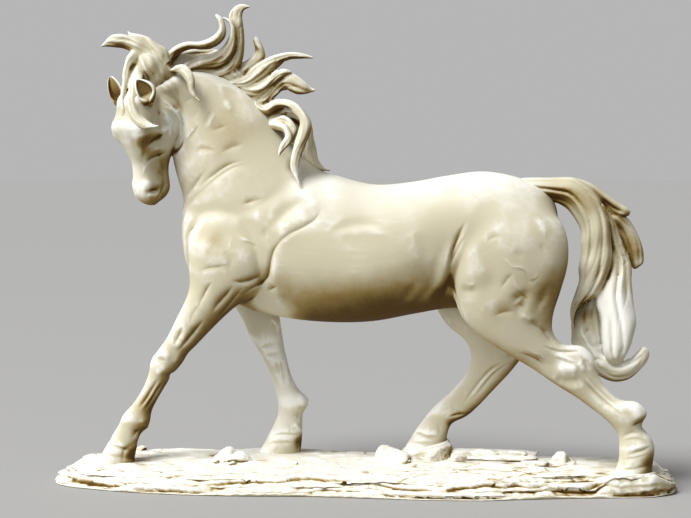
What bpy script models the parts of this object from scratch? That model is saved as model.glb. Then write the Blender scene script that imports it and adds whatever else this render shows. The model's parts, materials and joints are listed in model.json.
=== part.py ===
"""A walking horse with a blown mane, on a layered rock base, as two solid castings.

Metres, +Z up. The horse faces -X and its left side faces -Y. The origin is the middle of the
base's underside. Run with: blender --background --python part.py
"""

import math

import bmesh
import bpy
import numpy as np
from mathutils import Matrix, Vector

MM = 0.001

# Driving dimensions, in millimetres
WITHERS_HEIGHT = 193.0  # ground to the top of the shoulders, one eighth of a living horse
BASE_THICKNESS = 14.0  # underside to the ground that the near fore hoof stands on
BASE_END_MARGIN = 16.0  # rock beyond the furthest hoof, at each end
BASE_SIDE_MARGIN = 26.0  # rock beyond the outside of the hooves, at each side
SOLE_GAP = 0.3  # between a hoof's sole and its seat

# The horse is drawn on a sheet in millimetres, x along its length and z up, 193 mm at the
# withers. The near fore hoof's ground is at SHEET_GROUND there.
SHEET_GROUND = 14.0
SCALE = WITHERS_HEIGHT / 193.0

# Fineness of the castings
BODY_VOXEL = 1.4 * SCALE
CAST_VOXEL = 1.1 * SCALE
HORSE_TRIANGLES = 7000

BONE_COLOUR = (0.80, 0.76, 0.66, 1.0)
ROCK_COLOUR = (0.84, 0.81, 0.73, 1.0)


def on_sheet(points):
    """Points of the drawing sheet, as x, y, z rows in millimetres, in the part's frame."""
    points = np.asarray(points, float)
    placed = points * SCALE
    placed[..., 2] = BASE_THICKNESS + (points[..., 2] - SHEET_GROUND) * SCALE
    return placed * MM


# Outlines of the body. A row is one cross-section: its front or top point (x, z), its back or
# bottom point (x, z), the middle's y, the half width, and the share of the depth, from the back
# point, where it is widest.
TRUNK = [
    (-122, 178, -121.5, 156, 0, 7, 0.5),
    (-117.5, 190, -117.5, 141, 0, 16, 0.5),
    (-100, 202, -100, 127, 0, 23, 0.5),
    (-78, 208, -78, 117, 0, 27, 0.45),
    (-55, 210.5, -55, 111, 0, 30, 0.42),
    (-25, 207.5, -25, 108, 0, 33, 0.42),
    (7, 200, 7, 109, 0, 35, 0.44),
    (33, 202, 33, 114, 0, 34, 0.48),
    (55, 206, 55, 118, 0, 31, 0.55),
    (80, 209, 80, 120, 0, 30, 0.6),
    (103, 205, 103, 126, 0, 27, 0.62),
    (118, 199, 118, 136, 0, 20, 0.6),
    (128, 188, 128, 152, 0, 10, 0.5),
]
NECK = [
    (-2, 196, -92, 128, 0, 20, 0.5),
    (-26, 208, -117, 150, 0, 24, 0.45),
    (-43, 222, -124.5, 176, 0, 21.5, 0.42),
    (-57, 236, -124.5, 191, 0, 18.5, 0.42),
    (-68, 250, -126, 204, 0, 16.5, 0.42),
    (-80, 262, -128.5, 215, -1, 15, 0.44),
    (-94, 271, -130, 227, -3, 14, 0.46),
    (-110, 275, -132, 238, -6, 13, 0.5),
    (-126, 273, -137, 245, -10, 11.5, 0.5),
    (-137, 266, -143, 248, -14, 8, 0.5),
]
NEAR_FORE = [
    (-92, 196, -66, 188, -8, 6, 0.5),
    (-108, 182, -60, 172, -13, 13, 0.5),
    (-115, 166, -58, 152, -17, 15, 0.5),
    (-115, 148, -62, 134, -18, 14.5, 0.5),
    (-115, 130, -84, 119, -18, 11.5, 0.5),
    (-123.5, 111, -100, 104, -18, 9.2, 0.5),
    (-131.5, 96, -111, 92.5, -17.5, 7.6, 0.5),
    (-136, 90, -116, 87.5, -17, 7.2, 0.5),
    (-141, 83, -120, 81, -17, 7.6, 0.5),
    (-142.5, 75, -126.5, 73, -17, 6.4, 0.5),
    (-148, 62, -136, 58, -16.5, 4.8, 0.5),
    (-154, 53, -141, 48.5, -16, 5, 0.5),
    (-161, 45, -143, 40, -16, 6.4, 0.5),
    (-164, 38.5, -149, 32, -15.5, 5.6, 0.5),
    (-168, 32, -151, 27, -15.5, 6.2, 0.5),
    (-171.5, 26, -152, 22, -15, 8.6, 0.55),
    (-175, 20, -153, 18, -15, 9.6, 0.6),
    (-179, 13.5, -153.5, 13.5, -15, 10.8, 0.6),
    (-181, 9, -153.5, 9, -15, 11.2, 0.6),
]
FAR_FORE = [
    (-92, 192, -66, 186, 8, 6, 0.5),
    (-110, 178, -62, 170, 13, 13, 0.5),
    (-112, 158, -62, 150, 16, 14.5, 0.5),
    (-104, 136, -61, 128, 16, 12.8, 0.5),
    (-90, 116, -59.5, 112, 16, 10, 0.5),
    (-83, 104, -57.5, 99, 16, 8.2, 0.5),
    (-79.5, 95, -56, 89, 16, 7.5, 0.5),
    (-73, 85, -54, 80, 16, 6.6, 0.5),
    (-66.5, 72, -51.5, 70, 16, 5.2, 0.5),
    (-62.5, 60, -46, 59.5, 16, 5.4, 0.5),
    (-60.5, 50, -39, 51.5, 15.5, 6.6, 0.5),
    (-60.5, 42, -43, 43, 15.5, 5.8, 0.5),
    (-63, 36, -43.5, 37, 15.5, 6.2, 0.5),
    (-66.5, 29, -43.5, 30, 15, 8.4, 0.55),
    (-69.5, 23, -44, 23, 15, 9.6, 0.6),
    (-73, 17, -44.5, 17, 15, 10.6, 0.6),
    (-75, 12, -44.5, 12, 15, 11, 0.6),
]
NEAR_HIND = [
    (76, 200, 112, 196, -8, 7, 0.5),
    (64, 186, 127, 182, -14, 14, 0.5),
    (58, 166, 134, 167, -17, 17, 0.5),
    (57, 147, 134.5, 150, -18, 17, 0.5),
    (60, 130, 130, 132, -18, 15, 0.5),
    (67, 113, 125.5, 117, -18, 12.5, 0.5),
    (79, 101, 125, 106.5, -18, 10.5, 0.5),
    (97, 89.5, 131.5, 97.5, -17.5, 8.8, 0.5),
    (113, 80, 145.5, 95.5, -17, 7.2, 0.5),
    (124, 72.5, 151.5, 88.5, -17, 7.6, 0.5),
    (132, 67.5, 154, 79.5, -17, 6.8, 0.5),
    (141, 62, 160, 69.5, -17.5, 5.3, 0.5),
    (149.5, 56, 169, 61.5, -18, 5.4, 0.5),
    (157, 50.5, 181, 59.5, -18.5, 7, 0.5),
    (162.5, 45.5, 186.5, 53, -19, 7.2, 0.5),
    (167.5, 39.5, 183, 44.5, -19, 6.4, 0.5),
    (168.5, 35, 189, 37.5, -19, 7.4, 0.5),
    (168.5, 30, 191.5, 31, -19, 9, 0.5),
    (168.5, 23, 191, 24, -19, 9.8, 0.5),
    (166.5, 15, 190, 15, -19, 10.8, 0.5),
    (165.5, 9, 189.5, 9, -19, 11.2, 0.5),
]
FAR_HIND = [
    (76, 198, 110, 194, 8, 7, 0.5),
    (62, 182, 124, 178, 14, 14, 0.5),
    (54, 160, 128, 160, 16, 16, 0.5),
    (48, 136, 120, 140, 17, 15, 0.5),
    (47, 118, 110, 122, 17, 12.5, 0.5),
    (55.5, 104, 105, 109, 17, 10, 0.5),
    (66.5, 95, 106, 101, 16.5, 8.2, 0.5),
    (70.5, 86, 109, 91, 16, 7.6, 0.5),
    (69, 76, 101, 78, 16, 6.8, 0.5),
    (61.5, 65, 87, 62, 16, 5.6, 0.5),
    (54, 57, 75, 49, 16, 5.6, 0.5),
    (45, 48.5, 68, 43, 16, 6.6, 0.5),
    (38.5, 40, 58, 37.5, 15.5, 6, 0.5),
    (33.5, 33, 55.5, 31.5, 15, 8.2, 0.5),
    (30, 27, 55, 27.5, 15, 9.2, 0.55),
    (26.5, 21.5, 54, 24, 15, 10.2, 0.55),
    (24, 16, 53, 19, 15, 10.6, 0.55),
]

# The head is drawn on a sheet of its own: x is minus the distance in front of its long axis,
# z is minus the distance down that axis from the poll, y is right of its middle.
SKULL = [
    (-4.5, 3, 9, 3, 0, 5.5, 0.5),
    (-12.5, -5, 15.5, -5, 0, 12, 0.6),
    (-14, -12.5, 15.5, -12.5, 0, 13.5, 0.6),
    (-17, -22.5, 13.5, -22.5, 0, 14.5, 0.7),
    (-15, -31, 12.5, -31, 0, 13, 0.7),
    (-12, -39, 12.5, -39, 0, 10.5, 0.7),
    (-9.5, -49, 10, -49, 0, 8.5, 0.6),
    (-9.5, -56.5, 9, -56.5, 0, 8.5, 0.6),
    (-10.5, -64.5, 8, -64.5, 0, 9.5, 0.6),
    (-10, -70, 6.5, -70, 0, 9, 0.6),
    (-6, -75, 4.5, -75, 0, 6.5, 0.5),
    (-2, -77.5, 1, -77.5, 0, 3.5, 0.5),
]
JAW = [
    (6.5, -2, 18, -2, 0, 7.5, 0.5),
    (5.5, -10, 30, -10, 0, 11.5, 0.5),
    (3, -19.5, 36, -19.5, 0, 13, 0.5),
    (2, -28.5, 35.5, -28.5, 0, 12.5, 0.5),
    (2, -36, 29.5, -36, 0, 10, 0.5),
    (2, -44, 20, -44, 0, 7.5, 0.5),
    (3, -53.5, 15.5, -53.5, 0, 6, 0.5),
    (2, -61.5, 14.5, -61.5, 0, 6, 0.5),
    (0, -68, 14, -68, 0, 6.5, 0.5),
    (0, -73, 10.5, -73, 0, 5, 0.5),
    (1, -76, 6, -76, 0, 2.5, 0.5),
]
FACE_BUMPS = [  # brows and nostrils: x, half spread in y, z, then radii
    (-7.5, 14.8, -26.0, 6.5, 4.8, 6.8),
    (-6.0, 7.8, -63.0, 5.0, 4.4, 5.2),
]
POLL = (-149.5, -17.5, 262.5)  # on the body's sheet
HEAD_TURN = math.radians(46.0)  # towards the left side
HEAD_TUCK = math.radians(9.0)  # muzzle behind the upright
EARS = [  # base, tip and the way the cup faces, as x, y, z on the head's sheet
    ((0.5, -13.5, -10), (-1.5, -11.5, 7.5), (-0.77, -0.64, 0)),
    ((-7, 9.5, -10.5), (-10.5, 12.5, 11), (-1, -0.1, 0)),
]

# Locks of hair: a row is one edge (x, z), the other edge (x, z), the middle's y and half the
# thickness, from the root to the tip.
LOCKS = {
    "forelock root": [
        (-127, 276, -141, 254, -10, 7), (-131, 281, -145, 262, -11, 7.5), (-136, 285, -149, 270, -12, 7),
        (-142, 288, -151, 278, -12, 5), (-147, 289, -151, 284, -12, 2),
    ],
    "forelock wave": [
        (-133.5, 285.5, -146, 269.5, -10, 6), (-137.5, 288.5, -148, 274.5, -10, 6), (-142.5, 291.5, -149.5, 280.5, -10, 5.5),
        (-147.5, 295, -152.5, 286.5, -11, 5), (-154, 298, -158.5, 289.5, -11, 4.5), (-162, 299.5, -165, 290.5, -12, 4),
        (-168, 298, -170.5, 291, -12, 3), (-172, 294, -172.5, 291, -12, 1.5), (-174, 292, -174, 291, -12, 0.5),
    ],
    "forelock crest": [
        (-128, 281.5, -138.5, 271.5, -8, 6), (-131, 289.5, -141, 278.5, -8, 5.5), (-137, 293.5, -145, 286.5, -8, 5),
        (-143, 297.5, -149.5, 292.5, -8, 4), (-149.5, 299.5, -153.5, 296.5, -8, 3), (-155, 300.5, -156, 298.5, -8, 1.5),
        (-157.5, 302, -157, 300.5, -8, 0.5),
    ],
    "brow filling": [
        (-147.5, 284.5, -136, 276.5, -13, 5), (-150, 278.5, -138.5, 271, -16, 5.5),
        (-152.5, 273, -142, 267.5, -20, 5.5), (-153.5, 267.5, -143.5, 265, -24, 4.5),
    ],
    "forelock drop": [
        (-153.5, 288, -148, 279.5, -14, 4), (-156, 284, -150, 279, -16, 3.5), (-157, 279, -152, 275.5, -18, 3.5),
        (-158, 273, -152.5, 270, -20, 3), (-157.5, 267.5, -154, 265, -22, 3), (-158, 263, -154, 260, -24, 3),
        (-158.5, 257, -154.5, 255, -25, 3), (-158.5, 252, -154, 250, -26, 3), (-157.5, 247, -153, 246, -27, 2),
        (-154.5, 243, -153, 243, -28, 0.5),
    ],
    "brow lock": [
        (-153.5, 266.5, -144, 269, -22, 4), (-153, 261, -145.5, 261, -25, 4), (-153.5, 255, -146, 254, -28, 4),
        (-152.5, 249, -144.5, 249.5, -30, 4), (-150, 243, -142, 245.5, -32, 3.5), (-145.5, 238.5, -138.5, 242.5, -34, 3),
        (-139.5, 236.5, -135, 240.5, -36, 2), (-134.5, 237.5, -132.5, 239.5, -37, 1), (-130.5, 238.5, -130.5, 239.5, -38, 0.5),
    ],
    "hook": [
        (-128, 276, -126.5, 274, -8, 3), (-124, 278.5, -123, 273.5, -11, 3.5), (-117.5, 279, -119.5, 272, -15, 3.5),
        (-112.5, 275, -116.5, 268.5, -18, 3), (-110, 269.5, -114.5, 264, -19, 3), (-109.5, 263, -113, 260, -20, 2),
        (-108, 258, -110, 256.5, -20.5, 1.5), (-106, 255, -106.5, 254.5, -21, 0.5),
    ],
    "crest filling": [
        (-131, 276, -119, 262, -5, 6), (-124, 288, -112, 264, -5, 6), (-110, 291, -104, 266, -4, 5),
        (-97, 289, -93, 264, -4, 5), (-86, 280, -82, 258, -3, 5), (-74, 268, -72, 248, -3, 5),
        (-64, 256, -62, 236, -4, 5), (-52, 250, -54, 226, -5, 5), (-42, 244, -46, 214, -5, 4),
    ],
    "crest 1": [
        (-134, 274.5, -125, 274.5, -8, 6), (-132.5, 280.5, -127.5, 278.5, -7, 6), (-130.5, 287.5, -126, 283.5, -7, 5.5),
        (-125, 292, -121.5, 287, -7, 5), (-117.5, 294.5, -114.5, 289, -7, 5), (-109.5, 294.5, -107, 288.5, -7, 4.5),
        (-102.5, 296.5, -100, 289.5, -7, 4.5), (-97.5, 300, -94, 293.5, -7, 4), (-95.5, 303.5, -91, 299.5, -7, 3.5),
        (-96, 307, -91.5, 305.5, -7, 2.5), (-98, 310.5, -94, 310.5, -7, 1.5), (-98.5, 312, -97, 312.5, -7, 0.5),
    ],
    "crest 2": [
        (-125.5, 274.5, -117, 271.5, -5, 6), (-121, 281.5, -115, 274.5, -5, 6), (-113, 285.5, -107, 276, -5, 5.5),
        (-103.5, 287, -97.5, 277, -5, 5), (-95.5, 290.5, -90.5, 280.5, -5, 4.5), (-90.5, 296.5, -85.5, 288.5, -5, 4),
        (-88.5, 302.5, -84.5, 297.5, -5, 3.5), (-90, 307, -85.5, 304.5, -5, 2.5), (-93.5, 310, -88.5, 309, -5, 1.5),
        (-93.5, 310.5, -92.5, 310.5, -5, 0.5),
    ],
    "crest 3": [
        (-111.5, 273.5, -101, 269.5, -2, 6), (-102, 276.5, -93, 270.5, -2, 6), (-93, 280, -85.5, 275, -2, 5.5),
        (-87.5, 286.5, -81.5, 282.5, -2, 5), (-85, 293.5, -80, 291.5, -2, 4.5), (-85.5, 300.5, -80, 300.5, -2, 4),
        (-88, 306.5, -80.5, 306.5, -2, 3.5), (-90, 311.5, -81, 311.5, -2, 3), (-88, 316.5, -80, 315.5, -2, 2.5),
        (-83.5, 320, -78, 317, -2, 1.5), (-78.5, 320, -76.5, 317.5, -2, 1), (-76, 318.5, -75.5, 317.5, -2, 0.5),
    ],
    "crest 4": [
        (-100, 271.5, -88.5, 267.5, 3, 6), (-91.5, 274.5, -82.5, 269.5, 3, 5.5), (-83.5, 280, -76, 274.5, 3, 5),
        (-77, 284, -70, 279.5, 3, 4), (-73.5, 288, -66.5, 284.5, 3, 3), (-74, 293, -67.5, 290.5, 3, 2.5),
        (-74.5, 296, -70, 295.5, 3, 1.5), (-73.5, 298, -72, 298, 3, 0.5),
    ],
    "back 1": [
        (-91, 269.5, -85, 262.5, -2, 6), (-82.5, 271.5, -77.5, 262.5, -2, 6), (-74.5, 277.5, -69.5, 267.5, -2, 5.5),
        (-66, 283, -62, 273.5, -2, 5), (-58, 286, -55, 278.5, -2, 4.5), (-49, 287.5, -47.5, 282, -2, 3.5),
        (-40.5, 286.5, -40, 283, -2, 2.5), (-35.5, 285, -35.5, 283, -2, 1), (-33.5, 284, -34, 283, -2, 0.5),
    ],
    "back 2": [
        (-84, 266.5, -78, 256, -5, 5.5), (-76, 267, -72, 257, -5, 5.5), (-69, 268.5, -65, 260, -5, 5),
        (-62.5, 272.5, -59.5, 265, -5, 4.5), (-57, 276, -54.5, 269.5, -5, 3.5), (-52, 276.5, -51, 272, -5, 2.5),
        (-48, 275, -48, 273, -5, 1),
    ],
    "back 3": [
        (-77, 259, -71, 251, -5, 5.5), (-69, 262, -65, 253, -5, 5.5), (-62, 267, -59, 258, -5, 5),
        (-55.5, 272, -54, 261.5, -5, 4.5), (-49, 274, -48.5, 261, -5, 4), (-43.5, 271.5, -44.5, 259.5, -5, 3.5),
        (-38.5, 267.5, -39.5, 259.5, -5, 2.5), (-34.5, 264, -35, 260.5, -5, 1), (-32, 263, -32, 261.5, -5, 0.5),
    ],
    "arch": [
        (-74, 256, -68, 245, -5, 6), (-67.5, 252.5, -63, 244.5, -7, 6), (-60.5, 256, -57, 249, -9, 5.5),
        (-52, 256.5, -51, 250, -11, 5.5), (-44, 254, -46, 247, -13, 5), (-37, 247.5, -41, 241.5, -15, 5),
        (-33, 240.5, -42, 235, -16, 4.5), (-34, 233, -44, 228.5, -17, 4), (-37, 225.5, -45.5, 222.5, -18, 3.5),
        (-39.5, 219, -46.5, 217, -19, 3), (-41, 212, -46.5, 211, -20, 2), (-41, 206, -44, 206, -21, 1.5),
        (-40, 201, -41, 200.5, -22, 0.5),
    ],
    "arch behind": [
        (-50, 251, -47, 241, -2, 5), (-39.5, 247, -41.5, 236, -2, 5), (-34.5, 238, -39.5, 229, -2, 4.5),
        (-33.5, 231, -40.5, 222, -2, 4), (-31.5, 224, -41.5, 217, -2, 3.5), (-30, 216.5, -37, 213, -1, 3),
        (-27, 212, -30.5, 209.5, -1, 2), (-22.5, 210, -23, 208.5, 0, 0.5),
    ],
    "inner": [
        (-65.5, 244, -64.5, 235, -6, 5), (-60.5, 247, -59.5, 236, -8, 5), (-53, 246.5, -53, 239, -9, 4.5),
        (-47, 242.5, -50.5, 236, -10, 4), (-43.5, 236, -48.5, 231, -11, 3), (-45.5, 228, -48.5, 227.5, -12, 1),
    ],
    "hook low": [
        (-64, 242, -63, 236, -10, 4), (-57.5, 241.5, -57, 235.5, -14, 4), (-51, 240, -52, 234, -16, 4),
        (-46.5, 234, -51, 231, -18, 3), (-46.5, 228, -53, 227.5, -19, 3), (-50.5, 223, -54.5, 222.5, -20, 2),
        (-53, 220, -54.5, 220, -20.5, 1), (-53, 217, -53, 217, -21, 0.5),
    ],
}
TAIL = {
    "main": [
        (110.5, 205, 110.5, 191, 0, 8), (116, 205, 116, 190.5, 0, 8), (126.5, 205, 125.5, 188.5, 0, 8),
        (138, 205, 132.5, 185.5, -1, 8), (149.5, 197.5, 138.5, 178.5, -2, 8), (158, 187.5, 142.5, 170.5, -3, 7.5),
        (162, 175.5, 143, 162.5, -4, 7.5), (163.5, 163, 143, 154, -4, 7), (164, 152.5, 141.5, 145.5, -5, 7),
        (162.5, 144, 142, 138, -5, 6.5), (158.5, 134.5, 139.5, 129.5, -5, 6), (153.5, 127.5, 137, 121.5, -5, 5),
        (144.5, 120.5, 136.5, 114.5, -5, 3.5), (140, 112.5, 137.5, 109.5, -5, 2), (139.5, 106, 139, 105.5, -5, 0.5),
    ],
    "upper": [
        (122, 205, 125.5, 197, 1, 6), (138, 205, 141, 196, 2, 6), (148, 202, 149.5, 191.5, 3, 5.5),
        (159.5, 194.5, 158.5, 183.5, 4, 5), (168, 188.5, 165, 179.5, 4, 4), (173.5, 185, 171, 179, 4, 3),
        (175.5, 183, 174.5, 180, 4, 1),
    ],
    "right": [
        (158.5, 187.5, 155, 178, 6, 5), (170, 181.5, 161.5, 174, 6, 5.5), (176, 175.5, 166, 168, 7, 5.5),
        (180.5, 167.5, 169, 161.5, 7, 5), (183.5, 159.5, 172.5, 154.5, 7, 5), (184.5, 153.5, 175, 149, 7, 4),
        (184, 148.5, 177, 145.5, 6, 2.5), (180, 145, 178.5, 144.5, 6, 1),
    ],
    "broad": [
        (166, 175, 156.5, 175, 3, 6), (170, 162.5, 160.5, 162.5, 3, 7), (175, 152.5, 162.5, 151, 2, 7.5),
        (176.5, 145, 161.5, 142.5, 1, 7.5), (176.5, 138.5, 159, 134.5, 0, 8), (177, 130, 154.5, 127, -1, 8),
        (178, 120.5, 153.5, 121, -1, 7.5), (179.5, 111.5, 156, 112.5, -1, 7), (178, 103, 157, 101, -1, 6.5),
        (175.5, 94, 158, 91, -1, 5.5), (173, 88.5, 161, 84.5, -1, 4.5), (170, 81.5, 164, 80, -1, 2.5),
    ],
    "inner": [
        (155, 124, 145.5, 124, -2, 4), (156.5, 114.5, 138, 112.5, -2, 4.5), (157, 103, 137.5, 102.5, -2, 5),
        (158, 92, 138.5, 94, -2, 5), (160.5, 84.5, 148, 89, -2, 4.5), (165, 79.5, 152.5, 81.5, -2, 4),
    ],
    "curl": [
        (148.5, 106, 140, 101, -3, 4.5), (152.5, 97, 143, 95, -3, 5), (156.5, 90.5, 147, 88.5, -3, 5.5),
        (162, 86, 149.5, 80.5, -3, 6), (167.5, 82.5, 156, 74.5, -3, 6), (171, 83.5, 165, 71, -3, 5.5),
        (174, 86.5, 174.5, 72.5, -3, 5), (178.5, 89, 182, 78.5, -3, 4), (182, 92.5, 187.5, 86, -3, 3),
        (184.5, 94.5, 188.5, 90, -3, 1.5),
    ],
}
# Creases and swellings of the flesh, drawn on the sheet as lines (x, z): the sides that have it
# (-1 left, 1 right, 0 both), its half width, its depth (swellings below 0), its points.
FLESH = [
    (0, 4.5, 2.6, [(-24, 186), (-33, 176), (-50, 166), (-57, 159), (-59, 148), (-61, 138), (-67, 133)]),
    (0, 5.0, 2.6, [(69, 182), (68, 175), (63, 165), (59, 155), (58, 146), (61, 133), (66, 122), (74, 113)]),
    (0, 5.0, 1.6, [(60, 158), (56, 144), (49, 132), (41, 124)]),
    (0, 5.0, 1.2, [(44, 137), (31, 129), (18, 124)]),
    (0, 3.5, 1.6, [(-109, 143), (-98, 145), (-88, 146)]),
    (0, 3.0, 1.4, [(-85, 136), (-73, 138), (-65, 136)]),
    (0, 3.5, 1.6, [(-107, 197), (-99, 203), (-88, 210), (-77, 214)]),
    (0, 5.0, 1.6, [(-41, 190), (-49, 180), (-57, 170)]),
    (0, 4.0, 1.4, [(-27, 170), (-18, 173), (-2, 174), (14, 175)]),
    (0, 3.0, 1.3, [(-83, 170), (-88, 158), (-93, 149)]),
    (0, 6.0, -2.0, [(-108, 160), (-100, 168)]),
    (0, 7.0, -2.0, [(-75, 158), (-72, 150)]),
    (0, 6.0, -1.5, [(112, 176), (117, 166), (118, 156)]),
    (0, 5.0, 1.2, [(68, 135), (76, 134)]),
]

# Stones on the base: middle (x, y), half sizes (x, y, z), turn in degrees, height of the middle
STONES = [
    (-82, -9, 12, 8, 8.5, 6, 16.5),
    (-47, -15, 4, 3, 3, 0, 13.5),
    (18, 0, 12, 9, 9.5, -8, 17.0),
    (60, 7, 5, 6, 5, 10, 15.0),
    (89, 8, 28, 9, 7.5, -2, 14.0),
    (128, 2, 17, 9, 3.5, 4, 13.5),
    (130, 3, 8, 7, 8, 20, 14.0),
    (-148, 30, 5, 4, 3, 0, 13.5),
]
# Hooves: middle (x, y) and height of the ground there on the sheet, its rise per length along x,
# and the seat's half length and half width
HOOVES = [
    (-167, -15, 14.0, 0.0, 21, 17),
    (-59, 15, 17.0, 0.0, 22, 17),
    (179, -19, 14.6, 0.02, 20, 17),
    (40.5, 15, 23.7, 0.22, 15, 13),
]
HOOF_HALF_LENGTH = 12.0 * SCALE
HOOF_HALF_WIDTH = 11.0 * SCALE

# Outline of the base: left end round the near side to the right end, then back by the far side,
# as shares of its half length and half width
BASE_OUTLINE = [
    (-1.0, -0.16), (-0.98, -0.38), (-0.92, -0.62), (-0.81, -0.83), (-0.67, -0.94), (-0.5, -1.0),
    (-0.33, -0.98), (-0.16, -0.93), (0.04, -0.96), (0.25, -0.99), (0.4, -0.95), (0.52, -0.84),
    (0.66, -0.72), (0.8, -0.64), (0.9, -0.58), (0.97, -0.42), (1.0, -0.12), (0.99, 0.2),
    (0.95, 0.42), (0.86, 0.56), (0.72, 0.68), (0.58, 0.8), (0.42, 0.9), (0.2, 0.98),
    (0.0, 1.0), (-0.24, 0.97), (-0.4, 0.94), (-0.56, 0.86), (-0.76, 0.76), (-0.9, 0.56),
    (-0.965, 0.26), (-0.99, 0.04),
]
# Its strata, from the top's edge down: shares of the half width, half length and thickness
STRATA = [
    (0.76, 0.965, 0.8), (0.79, 0.975, 0.73), (0.78, 0.972, 0.63), (0.86, 0.98, 0.585), (0.885, 0.988, 0.5),
    (0.87, 0.984, 0.385), (0.94, 0.99, 0.34), (0.955, 0.994, 0.245), (0.94, 0.99, 0.2), (0.99, 1.0, 0.155),
    (1.0, 1.0, 0.07), (0.985, 0.996, 0.0),
]

parts = bpy.data.collections.new("walking_horse_sculpture")
cutters = bpy.data.collections.new("cutters")


def clear_scene():
    """Leaves an empty scene with the two collections."""
    for old in list(bpy.data.objects):
        bpy.data.objects.remove(old)
    for collection in (parts, cutters):
        bpy.context.scene.collection.children.link(collection)
    cutters.hide_render = True


def smooth_rows(rows, count):
    """Rows resampled to count rows along a cubic curve through them, spaced by distance."""
    rows = np.asarray(rows, float)
    steps = np.linalg.norm(np.diff(rows[:, :4], axis=0), axis=1)
    at = np.concatenate([[0], np.cumsum(np.maximum(steps, 1e-6))])
    slope = np.gradient(rows, at, axis=0)
    t = np.linspace(0, at[-1], count)
    i = np.clip(np.searchsorted(at, t, side="right") - 1, 0, len(at) - 2)
    span = (at[i + 1] - at[i])[:, None]
    s = (t - at[i])[:, None] / span
    return (
        (2 * s**3 - 3 * s**2 + 1) * rows[i]
        + (s**3 - 2 * s**2 + s) * span * slope[i]
        + (3 * s**2 - 2 * s**3) * rows[i + 1]
        + (s**3 - s**2) * span * slope[i + 1]
    )


def closed_loft(rings):
    """Points and faces of a closed skin through rings, an array of rings x points x 3."""
    count, around, _ = rings.shape
    ends = [rings[0].mean(0)[None], rings[-1].mean(0)[None]]
    points = np.concatenate([rings.reshape(-1, 3), *ends])
    ring, step = np.meshgrid(np.arange(count - 1), np.arange(around), indexing="ij")
    a = ring * around + step
    b = ring * around + (step + 1) % around
    faces = np.stack([a, b, b + around, a + around], -1).reshape(-1, 4).tolist()
    first, last = count * around, count * around + 1
    for step in range(around):
        after = (step + 1) % around
        faces.append((first, after, step))
        faces.append((last, first - around + step, first - around + after))
    return points, faces


def outline_rings(rows, count, around, groove=0.0, square=1.0):
    """Rings between the two edge points of each row, widest at its share of the depth.

    groove is how deep five furrows run along it. A square below 1 makes the section boxier.
    """
    rows = smooth_rows(rows, count)
    front, back, share = rows[:, [0, 1]], rows[:, [2, 3]], rows[:, 6:7]
    depth = front - back
    angle = np.linspace(0, 2 * math.pi, around, endpoint=False)
    furrow = 1 - groove * (0.5 - 0.5 * np.cos(5 * angle))
    along = furrow * np.sign(np.cos(angle)) * np.abs(np.cos(angle)) ** square
    side = furrow * np.sign(np.sin(angle)) * np.abs(np.sin(angle)) ** square
    reach = np.where(along > 0, 1 - share, share) * along
    flat = (back + depth * share)[:, None] + depth[:, None] * reach[..., None]
    across = rows[:, 4:5] + np.maximum(rows[:, 5:6], 0.2) * side
    return np.stack([flat[..., 0], across, flat[..., 1]], -1)


def limb(rows, count, around=28, square=1.0):
    return closed_loft(outline_rings(rows, count, around, square=square))


def lock(rows, count=24, around=14):
    """A lock of hair: a limb's skin with grooves along it."""
    rows = [(*row, 0.5) for row in rows]
    return closed_loft(outline_rings(rows, count, around, 0.14))


def ball(middle, radii):
    """A closed skin of a round swelling."""
    body = bmesh.new()
    bmesh.ops.create_icosphere(body, subdivisions=3, radius=1.0)
    points = np.array([v.co for v in body.verts]) * radii + middle
    faces = [tuple(v.index for v in f.verts) for f in body.faces]
    body.free()
    return points, faces


def mesh_object(name, shells, collection):
    """One object of several closed shells, each given as points in metres and faces."""
    mesh = bpy.data.meshes.new(name)
    points, faces, first = [], [], 0
    for shell_points, shell_faces in shells:
        points.append(shell_points)
        faces += [tuple(first + int(i) for i in face) for face in shell_faces]
        first += len(shell_points)
    mesh.from_pydata(np.concatenate(points).tolist(), [], faces)
    body = bmesh.new()
    body.from_mesh(mesh)
    bmesh.ops.recalc_face_normals(body, faces=body.faces)
    body.to_mesh(mesh)
    body.free()
    made = bpy.data.objects.new(name, mesh)
    collection.objects.link(made)
    return made


def one_skin(obj, voxel, smoothing):
    """Makes the object's shells one skin on a grid of voxel millimetres, and smooths it."""
    remesh = obj.modifiers.new("one skin", "REMESH")
    remesh.mode = "VOXEL"
    remesh.voxel_size = voxel * MM
    smooth = obj.modifiers.new("soft joins", "SMOOTH")
    smooth.factor = 0.5
    smooth.iterations = smoothing
    graph = bpy.context.evaluated_depsgraph_get()
    mesh = bpy.data.meshes.new_from_object(obj.evaluated_get(graph))
    obj.modifiers.clear()
    obj.data = mesh
    return obj


def mesh_points(obj):
    points = np.empty(len(obj.data.vertices) * 3)
    obj.data.vertices.foreach_get("co", points)
    return points.reshape(-1, 3)


def line_distance(flat, line):
    """Distance of each row of flat, 2-D points, from the polyline."""
    line = np.asarray(line, float)
    best = np.full(len(flat), np.inf)
    for a, b in zip(line[:-1], line[1:]):
        along = np.clip(((flat - a) @ (b - a)) / ((b - a) @ (b - a)), 0, 1)
        best = np.minimum(best, np.linalg.norm(flat - (a + along[:, None] * (b - a)), axis=1))
    return best


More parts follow.
